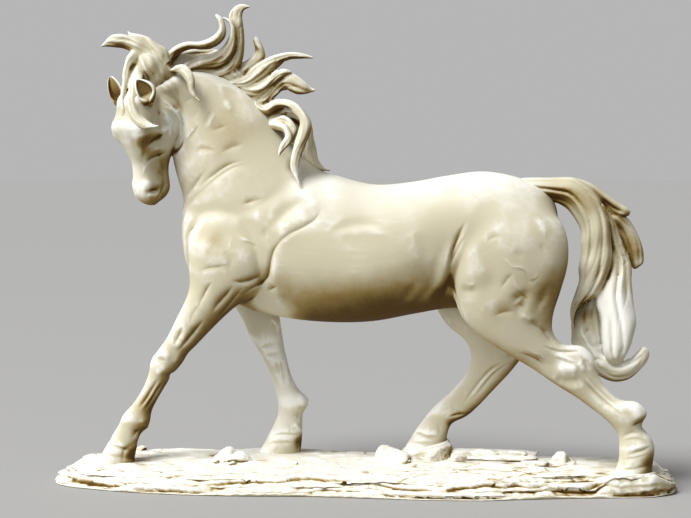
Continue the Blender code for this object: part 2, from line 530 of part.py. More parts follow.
def press_flesh(obj):
    """Moves the skin in or out along the creases and swellings."""
    points = mesh_points(obj)
    normals = np.empty(len(points) * 3)
    obj.data.vertices.foreach_get("normal", normals)
    normals = normals.reshape(-1, 3)
    sheet = points / MM / SCALE
    sheet[:, 2] = (points[:, 2] / MM - BASE_THICKNESS) / SCALE + SHEET_GROUND
    move = np.zeros(len(points))
    for side, half_width, depth, line in FLESH:
        near = np.exp(-((line_distance(sheet[:, [0, 2]], line) / half_width) ** 2))
        for way in (-1, 1) if side == 0 else (side,):
            faces_it = np.clip(normals[:, 1] * way * 2, 0, 1) * (sheet[:, 1] * way > 3)
            move -= depth * near * faces_it
    points += normals * (move * SCALE * MM)[:, None]
    obj.data.vertices.foreach_set("co", points.ravel())
    obj.data.update()


def material(name, colour, roughness):
    made = bpy.data.materials.new(name)
    made.use_nodes = True
    shader = made.node_tree.nodes["Principled BSDF"]
    shader.inputs["Base Color"].default_value = colour
    shader.inputs["Roughness"].default_value = roughness
    return made


def on_head(points):
    """Points of the head's sheet on the body's sheet."""
    turn = Matrix.Rotation(HEAD_TURN, 4, "Z")
    tuck = Matrix.Rotation(-HEAD_TUCK, 4, "Y")
    matrix = np.array(Matrix.Translation(Vector(POLL)) @ turn @ tuck)
    return points @ matrix[:3, :3].T + matrix[:3, 3]


def body_shells():
    """The trunk, neck, legs and head, as shells in the part's frame."""
    made = []
    for rows, count in (
        (TRUNK, 60), (NECK, 44), (NEAR_FORE, 90), (FAR_FORE, 90), (NEAR_HIND, 90), (FAR_HIND, 90),
    ):
        points, faces = limb(rows, count)
        made.append((on_sheet(points), faces))
    head = [limb(SKULL, 44, square=0.8), limb(JAW, 40, square=0.85)]
    for x, spread, z, rx, ry, rz in FACE_BUMPS:
        head += [ball((x, way * spread, z), (rx, ry, rz)) for way in (-1, 1)]
    made += [(on_sheet(on_head(points)), faces) for points, faces in head]
    return made


def ear(base, tip, facing):
    """An ear: a leaf from base to tip, broad across the way it faces."""
    base, tip, facing = (np.array(v, float) for v in (base, tip, facing))
    t = np.linspace(0, 1, 14)
    width = 5.4 * (np.sin(math.pi * (0.2 + 0.78 * t)) ** 0.65 + 0.04)
    angle = np.linspace(0, 2 * math.pi, 12, endpoint=False)
    across = np.cross(facing, tip - base)
    across /= np.linalg.norm(across)
    path = base + (tip - base) * t[:, None]
    bend = 1.5 * np.sin(math.pi * t)[:, None] * facing  # the leaf bows forward
    section = np.sin(angle)[:, None] * across + 0.42 * np.cos(angle)[:, None] * facing
    return closed_loft((path + bend)[:, None] + width[:, None, None] * section)


def hair_shells():
    """The locks of the mane, forelock and tail, and the ears."""
    made = [lock(rows) for rows in (*LOCKS.values(), *TAIL.values())]
    made += [(on_head(points), faces) for points, faces in (ear(*pair) for pair in EARS)]
    return [(on_sheet(points), faces) for points, faces in made]


def make_horse():
    body = one_skin(mesh_object("body", body_shells(), parts), BODY_VOXEL, 8)
    press_flesh(body)
    skin = (mesh_points(body), [tuple(f.vertices) for f in body.data.polygons])
    bpy.data.objects.remove(body)
    horse = one_skin(mesh_object("horse", [skin, *hair_shells()], parts), CAST_VOXEL, 2)
    thin = horse.modifiers.new("few faces", "DECIMATE")
    thin.ratio = HORSE_TRIANGLES / (2 * len(horse.data.polygons))
    for at, cutter in enumerate(sole_cutters()):
        sole = horse.modifiers.new(f"flat sole {at + 1}", "BOOLEAN")
        sole.object = cutter
    horse.data.materials.append(material("bone_resin", BONE_COLOUR, 0.45))
    return horse


def hoof_place(hoof, lift):
    """The matrix of a hoof's ground, lifted by lift millimetres."""
    x, y, ground, rise, _, _ = hoof
    middle = Vector(on_sheet((x, y, ground))) + Vector((0, 0, lift * MM))
    return Matrix.Translation(middle) @ Matrix.Rotation(-math.atan(rise), 4, "Y")


def sole_cutters():
    """A block below each hoof, whose top is the plane of the sole."""
    made = []
    for at, hoof in enumerate(HOOVES):
        size = Vector((50 * SCALE, 2.7 * HOOF_HALF_WIDTH, 14 * SCALE)) * MM
        block = bmesh.new()
        down = Matrix.Translation((0, 0, -size.z / 2))
        place = hoof_place(hoof, SOLE_GAP) @ down @ Matrix.Diagonal((*size, 1))
        bmesh.ops.create_cube(block, size=1.0, matrix=place)
        mesh = bpy.data.meshes.new("sole_cutter")
        block.to_mesh(mesh)
        block.free()
        cutter = bpy.data.objects.new(f"sole_cutter_{at + 1}", mesh)
        cutter.display_type = "WIRE"
        cutter.hide_render = True
        cutters.objects.link(cutter)
        made.append(cutter)
    return made


def base_reach():
    """Half length and half width of the base, from where the hooves stand."""
    ends = max(abs(hoof[0]) for hoof in HOOVES) * SCALE + HOOF_HALF_LENGTH
    sides = max(abs(hoof[1]) for hoof in HOOVES) * SCALE + HOOF_HALF_WIDTH
    return ends + BASE_END_MARGIN, sides + BASE_SIDE_MARGIN


def outline_ring(count):
    """count points round BASE_OUTLINE, along a closed cubic curve."""
    loop = np.array(BASE_OUTLINE + BASE_OUTLINE[:1])
    rows = np.column_stack([loop, np.zeros((len(loop), 2))])
    return smooth_rows(rows, count + 1)[:-1, :2]


def top_height(x, y):
    """Height of the base's top, in millimetres, level and flat at each hoof's seat."""
    half_width = base_reach()[1]
    z = BASE_THICKNESS * (1.21 - 0.457 * (np.abs(y / half_width - 0.143) / 0.893) ** 1.2)
    z += 0.5 * SCALE * np.sin(x / SCALE / 13 + y / SCALE / 9) * np.sin(x / SCALE / 29 - y / SCALE / 7)
    for hx, hy, ground, rise, seat_length, seat_width in HOOVES[:3]:
        seat = BASE_THICKNESS + (ground - SHEET_GROUND) * SCALE + rise * (x - hx * SCALE)
        out = np.maximum(
            np.abs(x / SCALE - hx) / seat_length, np.abs(y / SCALE - hy) / seat_width
        )
        blend = np.clip((out - 1) / 0.6, 0, 1)
        z = seat * (1 - blend) + z * blend
    return z


def make_base():
    half_length, half_width = base_reach()
    ring = outline_ring(60)
    phase = np.linspace(0, 2 * math.pi, len(ring), endpoint=False)
    rings = []
    for share in (0.12, 0.3, 0.48, 0.64):
        x = half_length * ring[:, 0] * (0.72 + 0.28 * share)
        y = half_width * ring[:, 1] * share
        rings.append(np.stack([x, y, top_height(x, y)], -1))
    for at, (wide, long, z) in enumerate(STRATA):
        layer = at // 3
        rough = 0.03 * np.sin((7 + 2 * layer) * phase + 2 * layer) + 0.016 * np.sin(23 * phase + 5 * layer)
        rough *= min(1.0, (len(STRATA) - at) / 4)
        x = half_length * ring[:, 0] * np.minimum(long + 0.3 * rough, 1)
        y = half_width * ring[:, 1] * np.minimum(wide + rough, 1)
        rings.append(np.stack([x, y, np.full_like(x, z * BASE_THICKNESS)], -1))
    base = mesh_object("rock_base", [closed_loft(np.array(rings) * MM)], parts)
    stones = mesh_object("stones", stone_shells(), cutters)
    stones.hide_render = True
    union = base.modifiers.new("stones", "BOOLEAN")
    union.operation = "UNION"
    union.use_self = True
    union.object = stones
    base.data.materials.append(material("rock_resin", ROCK_COLOUR, 0.6))
    return base


def stone_shells():
    """The loose stones, and the sloping rock under the far hind hoof."""
    made = []
    hoof = HOOVES[3]
    place = np.array(hoof_place(hoof, 0.0))
    angle = np.linspace(0, 2 * math.pi, 14, endpoint=False)
    rings = []
    for grow, drop in ((0.0, 0.0), (2.0, 3.0), (4.0, 16.0)):
        x = (hoof[4] + grow) * np.sign(np.cos(angle)) * np.abs(np.cos(angle)) ** 0.7
        y = (hoof[5] + grow) * np.sign(np.sin(angle)) * np.abs(np.sin(angle)) ** 0.7
        flat = np.stack([x, y, np.full_like(x, -drop)], -1) * SCALE * MM
        rings.append(flat @ place[:3, :3].T + place[:3, 3])
    made.append(closed_loft(np.array(rings)))
    for x, y, rx, ry, rz, turn, z in STONES:
        rock = bmesh.new()
        bmesh.ops.create_icosphere(rock, subdivisions=2 if rx > 10 else 1, radius=1.0)
        points = np.array([v.co for v in rock.verts])
        points = np.sign(points) * np.abs(points) ** 0.8
        lump = 1 + 0.08 * np.sin(4 * points[:, 0] + 3 * points[:, 1] + x)
        points = points * lump[:, None] * [rx, ry, rz]
        a = math.radians(turn)
        points = points @ np.array([[math.cos(a), math.sin(a), 0], [-math.sin(a), math.cos(a), 0], [0, 0, 1]])
        faces = [tuple(v.index for v in f.verts) for f in rock.faces]
        made.append((on_sheet(points + [x, y, z]), faces))
        rock.free()
    return made


clear_scene()
make_base()
make_horse()
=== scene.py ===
# %% [markdown]
# # A walking horse, cast in ivory resin
#
# The real piece is taken to be a table sculpture in two castings: a walking horse, and the
# layered rock that it stands on. A cast has one skin, so the horse's body is built here as one
# skin too. Its forms come from outlines that are lofted with numpy, melted together on a fine
# grid, and then pressed in and out along the lines of its muscles, folds and veins. Hair and
# rock are surfaces of their own, worked out as whole arrays.
#
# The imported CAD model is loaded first. It is the frame: it gives every place and size, and the
# finished pieces stand in for its two nodes.

# %% Load the frame
import json
import math

import bpy
import numpy as np
from mathutils import Matrix, Vector
from mathutils.bvhtree import BVHTree

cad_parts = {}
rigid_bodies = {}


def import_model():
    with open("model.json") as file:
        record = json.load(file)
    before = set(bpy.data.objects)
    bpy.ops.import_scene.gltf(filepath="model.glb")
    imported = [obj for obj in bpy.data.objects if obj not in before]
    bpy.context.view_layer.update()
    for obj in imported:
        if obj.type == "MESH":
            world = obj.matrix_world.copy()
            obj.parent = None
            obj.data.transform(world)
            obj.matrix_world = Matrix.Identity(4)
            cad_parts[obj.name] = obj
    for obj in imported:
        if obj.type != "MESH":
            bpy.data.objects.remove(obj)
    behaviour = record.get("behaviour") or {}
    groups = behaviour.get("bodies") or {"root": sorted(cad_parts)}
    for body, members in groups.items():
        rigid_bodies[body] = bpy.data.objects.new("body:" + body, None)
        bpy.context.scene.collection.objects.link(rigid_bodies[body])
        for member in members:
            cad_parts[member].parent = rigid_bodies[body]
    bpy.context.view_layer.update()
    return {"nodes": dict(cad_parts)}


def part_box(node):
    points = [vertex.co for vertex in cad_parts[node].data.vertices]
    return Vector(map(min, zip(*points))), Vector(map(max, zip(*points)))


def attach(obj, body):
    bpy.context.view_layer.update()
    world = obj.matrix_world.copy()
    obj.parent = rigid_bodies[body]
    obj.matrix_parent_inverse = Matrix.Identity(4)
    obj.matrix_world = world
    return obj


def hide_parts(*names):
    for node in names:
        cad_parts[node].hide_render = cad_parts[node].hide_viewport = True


MM = 0.001
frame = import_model()
print("CAD nodes:", sorted(frame["nodes"]))

# %% [markdown]
# ## Camera
#
# The view is a little from the front and from above. All the lines that are carved below were
# drawn as this camera sees them, so it comes first: the same sight lines carry them onto the
# skin. The lens is long, because a table piece is photographed from a metre or so away.

# %% Aim the camera
AZIMUTH, ELEVATION = math.radians(6.0), math.radians(4.5)
DISTANCE = 1.2  # metres
LENS, SENSOR = 93.78, 36.0  # focal length and width in millimetres, as a camera has them
TARGET = Vector((-12.4, 0.0, 150.2)) * MM
back_along_view = Vector((
    math.sin(AZIMUTH) * math.cos(ELEVATION),
    -math.cos(AZIMUTH) * math.cos(ELEVATION),
    math.sin(ELEVATION),
))
EYE = TARGET + DISTANCE * back_along_view
camera = bpy.data.objects.new("camera", bpy.data.cameras.new("camera"))
camera.data.sensor_width, camera.data.lens = SENSOR, LENS
camera.location = EYE
camera.rotation_euler = back_along_view.to_track_quat("Z", "Y").to_euler()
bpy.context.scene.collection.objects.link(camera)
bpy.context.scene.camera = camera
print("camera at", [round(v, 3) for v in EYE], "m")

# %% [markdown]
# ## Helpers for surfaces
#
# Each shape is a grid of points: rings of points round it, one ring after another along it. The
# helpers close such a grid into a skin, turn it the right way out, and put it into a mesh.
# Nothing loops over points: numpy works on whole arrays.

# %% Skins from rings of points
def closed_loft(rings):
    """Skin through rings, an array of rings x points x 3.

    Point (i, j) joins (i, j+1), (i+1, j+1) and (i+1, j) as two triangles, and a fan of triangles
    from the ring's middle closes each end. Where the skin's signed volume, a sixth of the sum of
    a . (b x c) over its triangles, is below 0, the triangles are turned round.
    """
    count, around, _ = rings.shape
    points = np.concatenate([rings.reshape(-1, 3), rings[:1].mean(1), rings[-1:].mean(1)])
    here = np.arange(count * around).reshape(count, around)
    beside = np.roll(here, -1, axis=1)
    faces = np.concatenate([
        np.stack([here[:-1], beside[:-1], beside[1:]], -1).reshape(-1, 3),
        np.stack([here[:-1], beside[1:], here[1:]], -1).reshape(-1, 3),
        np.stack([np.full(around, count * around), beside[0], here[0]], -1),
        np.stack([np.full(around, count * around + 1), here[-1], beside[-1]], -1),
    ])
    a, b, c = (points[faces[:, k]] for k in range(3))
    if np.einsum("ij,ij->", a, np.cross(b, c)) < 0:
        faces = faces[:, ::-1]
    return points, faces


def joined(shells):
    """Several (points, faces) as one pair of arrays."""
    firsts = np.cumsum([0] + [len(points) for points, _ in shells[:-1]])
    return (
        np.concatenate([points for points, _ in shells]),
        np.concatenate([faces + first for (_, faces), first in zip(shells, firsts)]),
    )


# %% Meshes from arrays and back
def new_piece(name, points, faces):
    """A mesh object at the origin, from points in metres and an array of triangles or quads."""
    mesh = bpy.data.meshes.new(name)
    mesh.vertices.add(len(points))
    mesh.vertices.foreach_set("co", np.asarray(points, np.float32).ravel())
    mesh.loops.add(faces.size)
    mesh.loops.foreach_set("vertex_index", np.ascontiguousarray(faces, np.int32).ravel())
    mesh.polygons.add(len(faces))
    starts = np.arange(0, faces.size, faces.shape[1], dtype=np.int32)
    mesh.polygons.foreach_set("loop_start", starts)
    mesh.update(calc_edges=True)
    mesh.validate()
    mesh.polygons.foreach_set("use_smooth", np.ones(len(mesh.polygons), bool))
    piece = bpy.data.objects.new(name, mesh)
    bpy.context.scene.collection.objects.link(piece)
    return piece


def points_of(piece, what="co"):
    """The piece's points, or their normals, as an array."""
    found = np.empty(len(piece.data.vertices) * 3, np.float32)
    piece.data.vertices.foreach_get(what, found)
    return found.reshape(-1, 3).astype(float)


def move_points(piece, points):
    """Puts the piece's points at new places."""
    piece.data.vertices.foreach_set("co", points.astype(np.float32).ravel())
    piece.data.update()


def edges_of(piece):
    """The point numbers at one end of every edge, and those at the other end."""
    ends = np.empty(2 * len(piece.data.edges), np.int32)
    piece.data.edges.foreach_get("vertices", ends)
    return ends.reshape(-1, 2).T


def mean_beside(points, one, two):
    """The mean of each point's neighbours: the sum over the edges that meet there, which is a
    bincount, divided by how many they are."""
    count = len(points)
    total = np.stack([
        np.bincount(one, points[two, k], count) + np.bincount(two, points[one, k], count)
        for k in range(3)
    ], -1)
    meet = np.bincount(one, minlength=count) + np.bincount(two, minlength=count)
    return total / np.maximum(meet, 1)[:, None]


def settle(piece):
    """Applies the piece's modifiers."""
    graph = bpy.context.evaluated_depsgraph_get()
    mesh = bpy.data.meshes.new_from_object(piece.evaluated_get(graph))
    piece.modifiers.clear()
    piece.data = mesh


# %% Smooth numbers between rows of a table
def smooth_rows(rows, count):
    """count rows on a cubic curve through the table's rows, evenly far apart.

    Between rows p and q, with slopes m and n over a span h and s from 0 to 1, the curve is
    (2s3 - 3s2 + 1) p + (s3 - 2s2 + s) h m + (3s2 - 2s3) q + (s3 - s2) h n.
    """
    rows = np.asarray(rows, float)
    steps = np.linalg.norm(np.diff(rows[:, :4], axis=0), axis=1)
    at = np.concatenate([[0], np.cumsum(np.maximum(steps, 1e-6))])
    slope = np.gradient(rows, at, axis=0)
    t = np.linspace(0, at[-1], count)
    i = np.clip(np.searchsorted(at, t, side="right") - 1, 0, len(at) - 2)
    span = (at[i + 1] - at[i])[:, None]
    s = (t - at[i])[:, None] / span
    return (
        (2 * s**3 - 3 * s**2 + 1) * rows[i]
        + (s**3 - 2 * s**2 + s) * span * slope[i]
        + (3 * s**2 - 2 * s**3) * rows[i + 1]
        + (s**3 - s**2) * span * slope[i + 1]
    )


def step_up(x, low, high):
    """0 below low, 1 above high, and 3s^2 - 2s^3 between them."""
    s = np.clip((x - low) / (high - low), 0, 1)
    return s * s * (3 - 2 * s)


# %% Soft noise
def waves(points, length, seed, count=14):
    """Soft noise between about -1 and 1: the mean of sines that run in count random directions,
    with wavelengths round length, in the points' own unit."""
    dice = np.random.default_rng(seed)
    way = dice.normal(size=(count, points.shape[-1]))
    way /= np.linalg.norm(way, axis=1, keepdims=True)
    way *= 2 * math.pi / (length * dice.uniform(0.7, 1.5, (count, 1)))
    return np.sin(points @ way.T + dice.uniform(0, 2 * math.pi, count)).mean(-1) * 2.4


print("a soft noise sample:", np.round(waves(np.eye(3) * 5, 4.0, 1), 2))

# %% [markdown]
# ## The body's outlines
#
# A horse reads by its outline, so the body starts from two edge lines for each part: row by row
# the front or top point and the back or bottom point, as x and z in millimetres, then how far
# the middle lies to the side (y), half the width, and how far up it is widest. For
# trunk, legs and skull the numbers are the CAD solid's own. Neck and jaw were set again here, by
# some millimetres, as the looks were matched. A box-modelled horse could look as good, but its
# proportions would have to be matched by eye.

# %% Tables of cross-sections
TRUNK = [
    (-122, 178, -121.5, 156, 0, 7, 0.5),
    (-117.5, 190, -117.5, 141, 0, 16, 0.5),
    (-100, 202, -100, 127, 0, 23, 0.5),
    (-78, 208, -78, 117, 0, 27, 0.45),
    (-55, 210.5, -55, 111, 0, 30, 0.42),
    (-25, 207.5, -25, 108, 0, 33, 0.42),
    (7, 200, 7, 109, 0, 35, 0.44),
    (33, 202, 33, 114, 0, 34, 0.48),
    (55, 206, 55, 118, 0, 31, 0.55),
    (80, 209, 80, 120, 0, 30, 0.6),
    (103, 205, 103, 126, 0, 27, 0.62),
    (118, 199, 118, 136, 0, 20, 0.6),
    (128, 188, 128, 152, 0, 10, 0.5),
]
NECK = [
    (-2, 196, -92, 128, 0, 20, 0.5),
    (-26, 208, -117, 150, 0, 24, 0.45),
    (-43, 222, -122.5, 176, 0, 21.5, 0.42),
    (-57, 236, -121.5, 189, 0, 18.5, 0.42),
    (-68, 250, -125.5, 204, 0, 16.5, 0.42),
    (-80, 262, -128.5, 215, 1, 14.5, 0.44),
    (-94, 271, -130, 227, 2, 13, 0.46),
    (-110, 275, -132, 238, 1, 11.5, 0.5),
    (-126, 273, -137, 245, -3, 10.5, 0.5),
    (-137, 266, -143, 248, -9, 8, 0.5),
]
NEAR_FORE = [
    (-92, 196, -66, 188, -8, 6, 0.5),
    (-108, 182, -60, 172, -13, 13, 0.5),
    (-115, 166, -58, 152, -17, 15, 0.5),
    (-115, 148, -62, 134, -18, 14.5, 0.5),
    (-115, 130, -84, 119, -18, 11.5, 0.5),
    (-123.5, 111, -100, 104, -18, 9.2, 0.5),
    (-131.5, 96, -111, 92.5, -17.5, 7.6, 0.5),
    (-136, 90, -116, 87.5, -17, 7.2, 0.5),
    (-141, 83, -120, 81, -17, 7.6, 0.5),
    (-142.5, 75, -126.5, 73, -17, 6.4, 0.5),
    (-148, 62, -136, 58, -16.5, 4.8, 0.5),
    (-154, 53, -141, 48.5, -16, 5, 0.5),
    (-161, 45, -143, 40, -16, 6.4, 0.5),
    (-164, 38.5, -149, 32, -15.5, 5.6, 0.5),
    (-168, 32, -151, 27, -15.5, 6.2, 0.5),
    (-171.5, 26, -152, 22, -15, 8.6, 0.55),
    (-175, 20, -153, 18, -15, 9.6, 0.6),
    (-179, 13.5, -153.5, 13.5, -15, 10.8, 0.6),
    (-181, 9, -153.5, 9, -15, 11.2, 0.6),
]
FAR_FORE = [
    (-92, 192, -66, 186, 8, 6, 0.5),
    (-110, 178, -62, 170, 13, 13, 0.5),
    (-112, 158, -62, 150, 16, 14.5, 0.5),
    (-104, 136, -61, 128, 16, 12.8, 0.5),
    (-90, 116, -59.5, 112, 16, 10, 0.5),
    (-83, 104, -57.5, 99, 16, 8.2, 0.5),
    (-79.5, 95, -56, 89, 16, 7.5, 0.5),
    (-73, 85, -54, 80, 16, 6.6, 0.5),
    (-66.5, 72, -51.5, 70, 16, 5.2, 0.5),
    (-62.5, 60, -46, 59.5, 16, 5.4, 0.5),
    (-60.5, 50, -39, 51.5, 15.5, 6.6, 0.5),
    (-60.5, 42, -43, 43, 15.5, 5.8, 0.5),
    (-63, 36, -43.5, 37, 15.5, 6.2, 0.5),
    (-66.5, 29, -43.5, 30, 15, 8.4, 0.55),
    (-69.5, 23, -44, 23, 15, 9.6, 0.6),
    (-73, 17, -44.5, 17, 15, 10.6, 0.6),
    (-75, 12, -44.5, 12, 15, 11, 0.6),
]
NEAR_HIND = [
    (76, 200, 112, 196, -8, 7, 0.5),
    (64, 186, 127, 182, -14, 14, 0.5),
    (58, 166, 134, 167, -17, 17, 0.5),
    (57, 147, 134.5, 150, -18, 17, 0.5),
    (60, 130, 130, 132, -18, 15, 0.5),
    (67, 113, 125.5, 117, -18, 12.5, 0.5),
    (79, 101, 125, 106.5, -18, 10.5, 0.5),
    (97, 89.5, 131.5, 97.5, -17.5, 8.8, 0.5),
    (113, 80, 145.5, 95.5, -17, 7.2, 0.5),
    (124, 72.5, 151.5, 88.5, -17, 7.6, 0.5),
    (132, 67.5, 154, 79.5, -17, 6.8, 0.5),
    (141, 62, 160, 69.5, -17.5, 5.3, 0.5),
    (149.5, 56, 169, 61.5, -18, 5.4, 0.5),
    (157, 50.5, 181, 59.5, -18.5, 7, 0.5),
    (162.5, 45.5, 186.5, 53, -19, 7.2, 0.5),
    (167.5, 39.5, 183, 44.5, -19, 6.4, 0.5),
    (168.5, 35, 189, 37.5, -19, 7.4, 0.5),
    (168.5, 30, 191.5, 31, -19, 9, 0.5),
    (168.5, 23, 191, 24, -19, 9.8, 0.5),
    (166.5, 15, 190, 15, -19, 10.8, 0.5),
    (165.5, 9, 189.5, 9, -19, 11.2, 0.5),
]
FAR_HIND = [
    (76, 198, 110, 194, 8, 7, 0.5),
    (62, 182, 124, 178, 14, 14, 0.5),
    (54, 160, 128, 160, 16, 16, 0.5),
    (48, 136, 120, 140, 17, 15, 0.5),
    (47, 118, 110, 122, 17, 12.5, 0.5),
    (55.5, 104, 105, 109, 17, 10, 0.5),
    (66.5, 95, 106, 101, 16.5, 8.2, 0.5),
    (70.5, 86, 109, 91, 16, 7.6, 0.5),
    (69, 76, 101, 78, 16, 6.8, 0.5),
    (61.5, 65, 87, 62, 16, 5.6, 0.5),
    (54, 57, 75, 49, 16, 5.6, 0.5),
    (45, 48.5, 68, 43, 16, 6.6, 0.5),
    (38.5, 40, 58, 37.5, 15.5, 6, 0.5),
    (33.5, 33, 55.5, 31.5, 15, 8.2, 0.5),
    (30, 27, 55, 27.5, 15, 9.2, 0.55),
    (26.5, 21.5, 54, 24, 15, 10.2, 0.55),
    (24, 16, 53, 19, 15, 10.6, 0.55),
]

print("rows:", len(TRUNK), len(NECK), len(NEAR_FORE), len(FAR_FORE), len(NEAR_HIND), len(FAR_HIND))

# %% [markdown]
# ## The head's outlines
#
# The head is turned towards the viewer, so it is drawn upright on a sheet of its own and then
# turned on the neck. A skull and a jaw overlap, and small swellings make the brows and nostrils.

# %% Tables of the head
SKULL = [
    (-4.5, 3, 9, 3, 0, 5.5, 0.5),
    (-12.5, -5, 15.5, -5, 0, 12, 0.6),
    (-14, -12.5, 15.5, -12.5, 0, 13.5, 0.6),
    (-17, -22.5, 13.5, -22.5, 0, 14.5, 0.7),
    (-15, -31, 12.5, -31, 0, 13, 0.7),
    (-12, -39, 12.5, -39, 0, 10.5, 0.7),
    (-9.5, -49, 10, -49, 0, 8.5, 0.6),
    (-9.5, -56.5, 9, -56.5, 0, 8.5, 0.6),
    (-10.5, -64.5, 8, -64.5, 0, 9.5, 0.6),
    (-10, -70, 6.5, -70, 0, 9, 0.6),
    (-6, -75, 4.5, -75, 0, 6.5, 0.5),
    (-2, -77.5, 1, -77.5, 0, 3.5, 0.5),
]
JAW = [
    (6.5, -2, 18, -2, 0, 7.5, 0.5),
    (5.5, -10, 30, -10, 0, 13, 0.5),
    (3, -19.5, 36, -19.5, 0, 15.5, 0.5),
    (2, -28.5, 35.5, -28.5, 0, 15, 0.5),
    (2, -36, 29.5, -36, 0, 12, 0.5),
    (2, -44, 20, -44, 0, 8.5, 0.5),
    (3, -53.5, 15.5, -53.5, 0, 6, 0.5),
    (2, -61.5, 14.5, -61.5, 0, 6, 0.5),
    (0, -68, 14, -68, 0, 6.5, 0.5),
    (0, -73, 10.5, -73, 0, 5, 0.5),
    (1, -76, 6, -76, 0, 2.5, 0.5),
]
FACE_SWELLINGS = [  # brows and nostrils: x, half spread in y, z, half width, height
    (-9, 14.5, -26, 5.5, 3.8),
    (-8, 9.5, -63, 3.8, 0.9),
]
POLL = (-149.5, -17.5, 262.5)  # on the body's sheet
HEAD_TURN = math.radians(46.0)  # towards the left side
HEAD_TUCK = math.radians(9.0)  # muzzle behind the upright


HEAD_SPIN = np.array(Matrix.Rotation(HEAD_TURN, 3, "Z") @ Matrix.Rotation(-HEAD_TUCK, 3, "Y"))


def on_head(points):
    """Points of the head's sheet on the body's sheet: tucked, turned and moved to the poll."""
    return points @ HEAD_SPIN.T + POLL


print("muzzle at", np.round(on_head(np.array([-6.0, 0, -76])), 1), "mm")

# %% [markdown]
# ## One skin
#
# The shells of trunk, neck, legs and head overlap like lumps of clay. A voxel remesh turns them
# into one closed skin, and smoothing runs their joins into each other, as a modeller's thumb
# would. The grid is fine, 0.75 mm, because folds a millimetre wide are pressed into it later.

# %% Rings through an outline
def outline_rings(rows, count, around, square=1.0):
    """Rings between the two edge points of each row, widest at its share of the depth.

    At angle a the ring reaches cos a along the depth and sin a times the half width sideways.
    A power below 1 on cos and sin makes the section boxier.
    """
    rows = smooth_rows(rows, count)
    front, back, share = rows[:, [0, 1]], rows[:, [2, 3]], rows[:, 6:7]
    depth = front - back
    angle = np.linspace(0, 2 * math.pi, around, endpoint=False)
    along = np.sign(np.cos(angle)) * np.abs(np.cos(angle)) ** square
    side = np.sign(np.sin(angle)) * np.abs(np.sin(angle)) ** square
    reach = np.where(along > 0, 1 - share, share) * along
    flat = (back + depth * share)[:, None] + depth[:, None] * reach[..., None]
    across = rows[:, 4:5] + np.maximum(rows[:, 5:6], 0.2) * side
    return np.stack([flat[..., 0], across, flat[..., 1]], -1)


def ball_rings(middle, radii, count=20, around=32):
    """A round swelling: rings of latitude u and longitude v, at middle + radii *
    (cos v sin u, sin v sin u, cos u)."""
    u = np.linspace(0.06, math.pi - 0.06, count)[:, None]
    v = np.linspace(0, 2 * math.pi, around, endpoint=False)[None]
    ball = np.stack([np.cos(v) * np.sin(u), np.sin(v) * np.sin(u), np.cos(u) + 0 * v], -1)
    return np.array(middle) + ball * radii


# %% Melt shells into one skin
BODY_VOXEL = 0.75  # mm


def one_skin(piece, voxel, smoothing):
    """Runs the piece's shells into one skin on a grid of voxel mm, then evens it out."""
    remesh = piece.modifiers.new("one skin", "REMESH")
    remesh.mode = "VOXEL"
    remesh.voxel_size = voxel * MM
    smooth = piece.modifiers.new("soft joins", "SMOOTH")
    smooth.factor = 0.5
    smooth.iterations = smoothing
    settle(piece)
    print(piece.name, "melted into one skin of", len(piece.data.vertices), "points")


# %% Loft the body and melt it
shells = [
    outline_rings(rows, 150, 64) for rows in (TRUNK, NECK, NEAR_FORE, FAR_FORE, NEAR_HIND, FAR_HIND)
]
shells += [
    on_head(outline_rings(SKULL, 100, 64, square=0.8)),
    on_head(outline_rings(JAW, 100, 64, square=0.7)),
]
body = new_piece("horse_body", *joined([closed_loft(rings * MM) for rings in shells]))
one_skin(body, BODY_VOXEL, 26)

# %% [markdown]
# ## Three joins made softer
#
# Smoothing the whole skin more would blunt knees and jaw. In three places, though, the join of
# two shells still shows, and a modeller would work it down with a thumb: thigh and croup,
# withers and neck, and under the root of the tail. Only they are smoothed further.

# %% Even out the three joins
def even_out(piece, middle, reach, rounds):
    """Smooths the skin round a place (x, z). In each round every point goes a share of the way
    to the mean of its neighbours, and the share is exp(-(distance / reach)^2)."""
    points, edges = points_of(piece), edges_of(piece).T
    share = np.exp(-((points[:, [0, 2]] / MM - middle) ** 2).sum(1) / reach**2)
    used, edges = np.unique(edges[share[edges].min(1) > 0.01], return_inverse=True)
    one, two = edges.reshape(-1, 2).T
    now, share = points[used], share[used][:, None]
    for _ in range(rounds):
        now += (mean_beside(now, one, two) - now) * share
    points[used] = now
    move_points(piece, points)
    print(len(used), "points evened out round", middle)


even_out(body, (98, 184), 22, 160)  # thigh into croup
even_out(body, (-41, 197), 11, 120)  # withers into neck
even_out(body, (122, 186), 8, 120)  # below the root of the tail

# %% [markdown]
# ## Muscles, folds and veins
#
# A cast like this gets its life from soft folds: the windpipe and the pleats of the turned
# neck, the edge of the shoulder blade, the skin that gathers at elbow and stifle, the veins on
# belly and haunch, the tendons of the legs. Each is a stroke, drawn as a line as the camera sees
# it, with a half width and a depth in millimetres; a depth below 0 is a ridge. Sight lines
# carry it onto the skin, and the skin moves along its own normals under a bell curve. A sculpt
# brush does the same thing by hand; here each stroke is a row that can be read and changed.

# %% Carry a drawn line onto the skin
def tree_of(piece):
    """The piece's skin as a tree, in which a ray or a near point is found quickly."""
    corners = np.empty(len(piece.data.loops), np.int32)
    piece.data.loops.foreach_get("vertex_index", corners)
    faces = corners.reshape(len(piece.data.polygons), -1)
    return BVHTree.FromPolygons(points_of(piece).tolist(), faces.tolist())


def dropped(tree, line):
    """The line's points, each moved to the nearest place on the skin."""
    return np.array([tree.find_nearest(Vector(p))[0] for p in line])


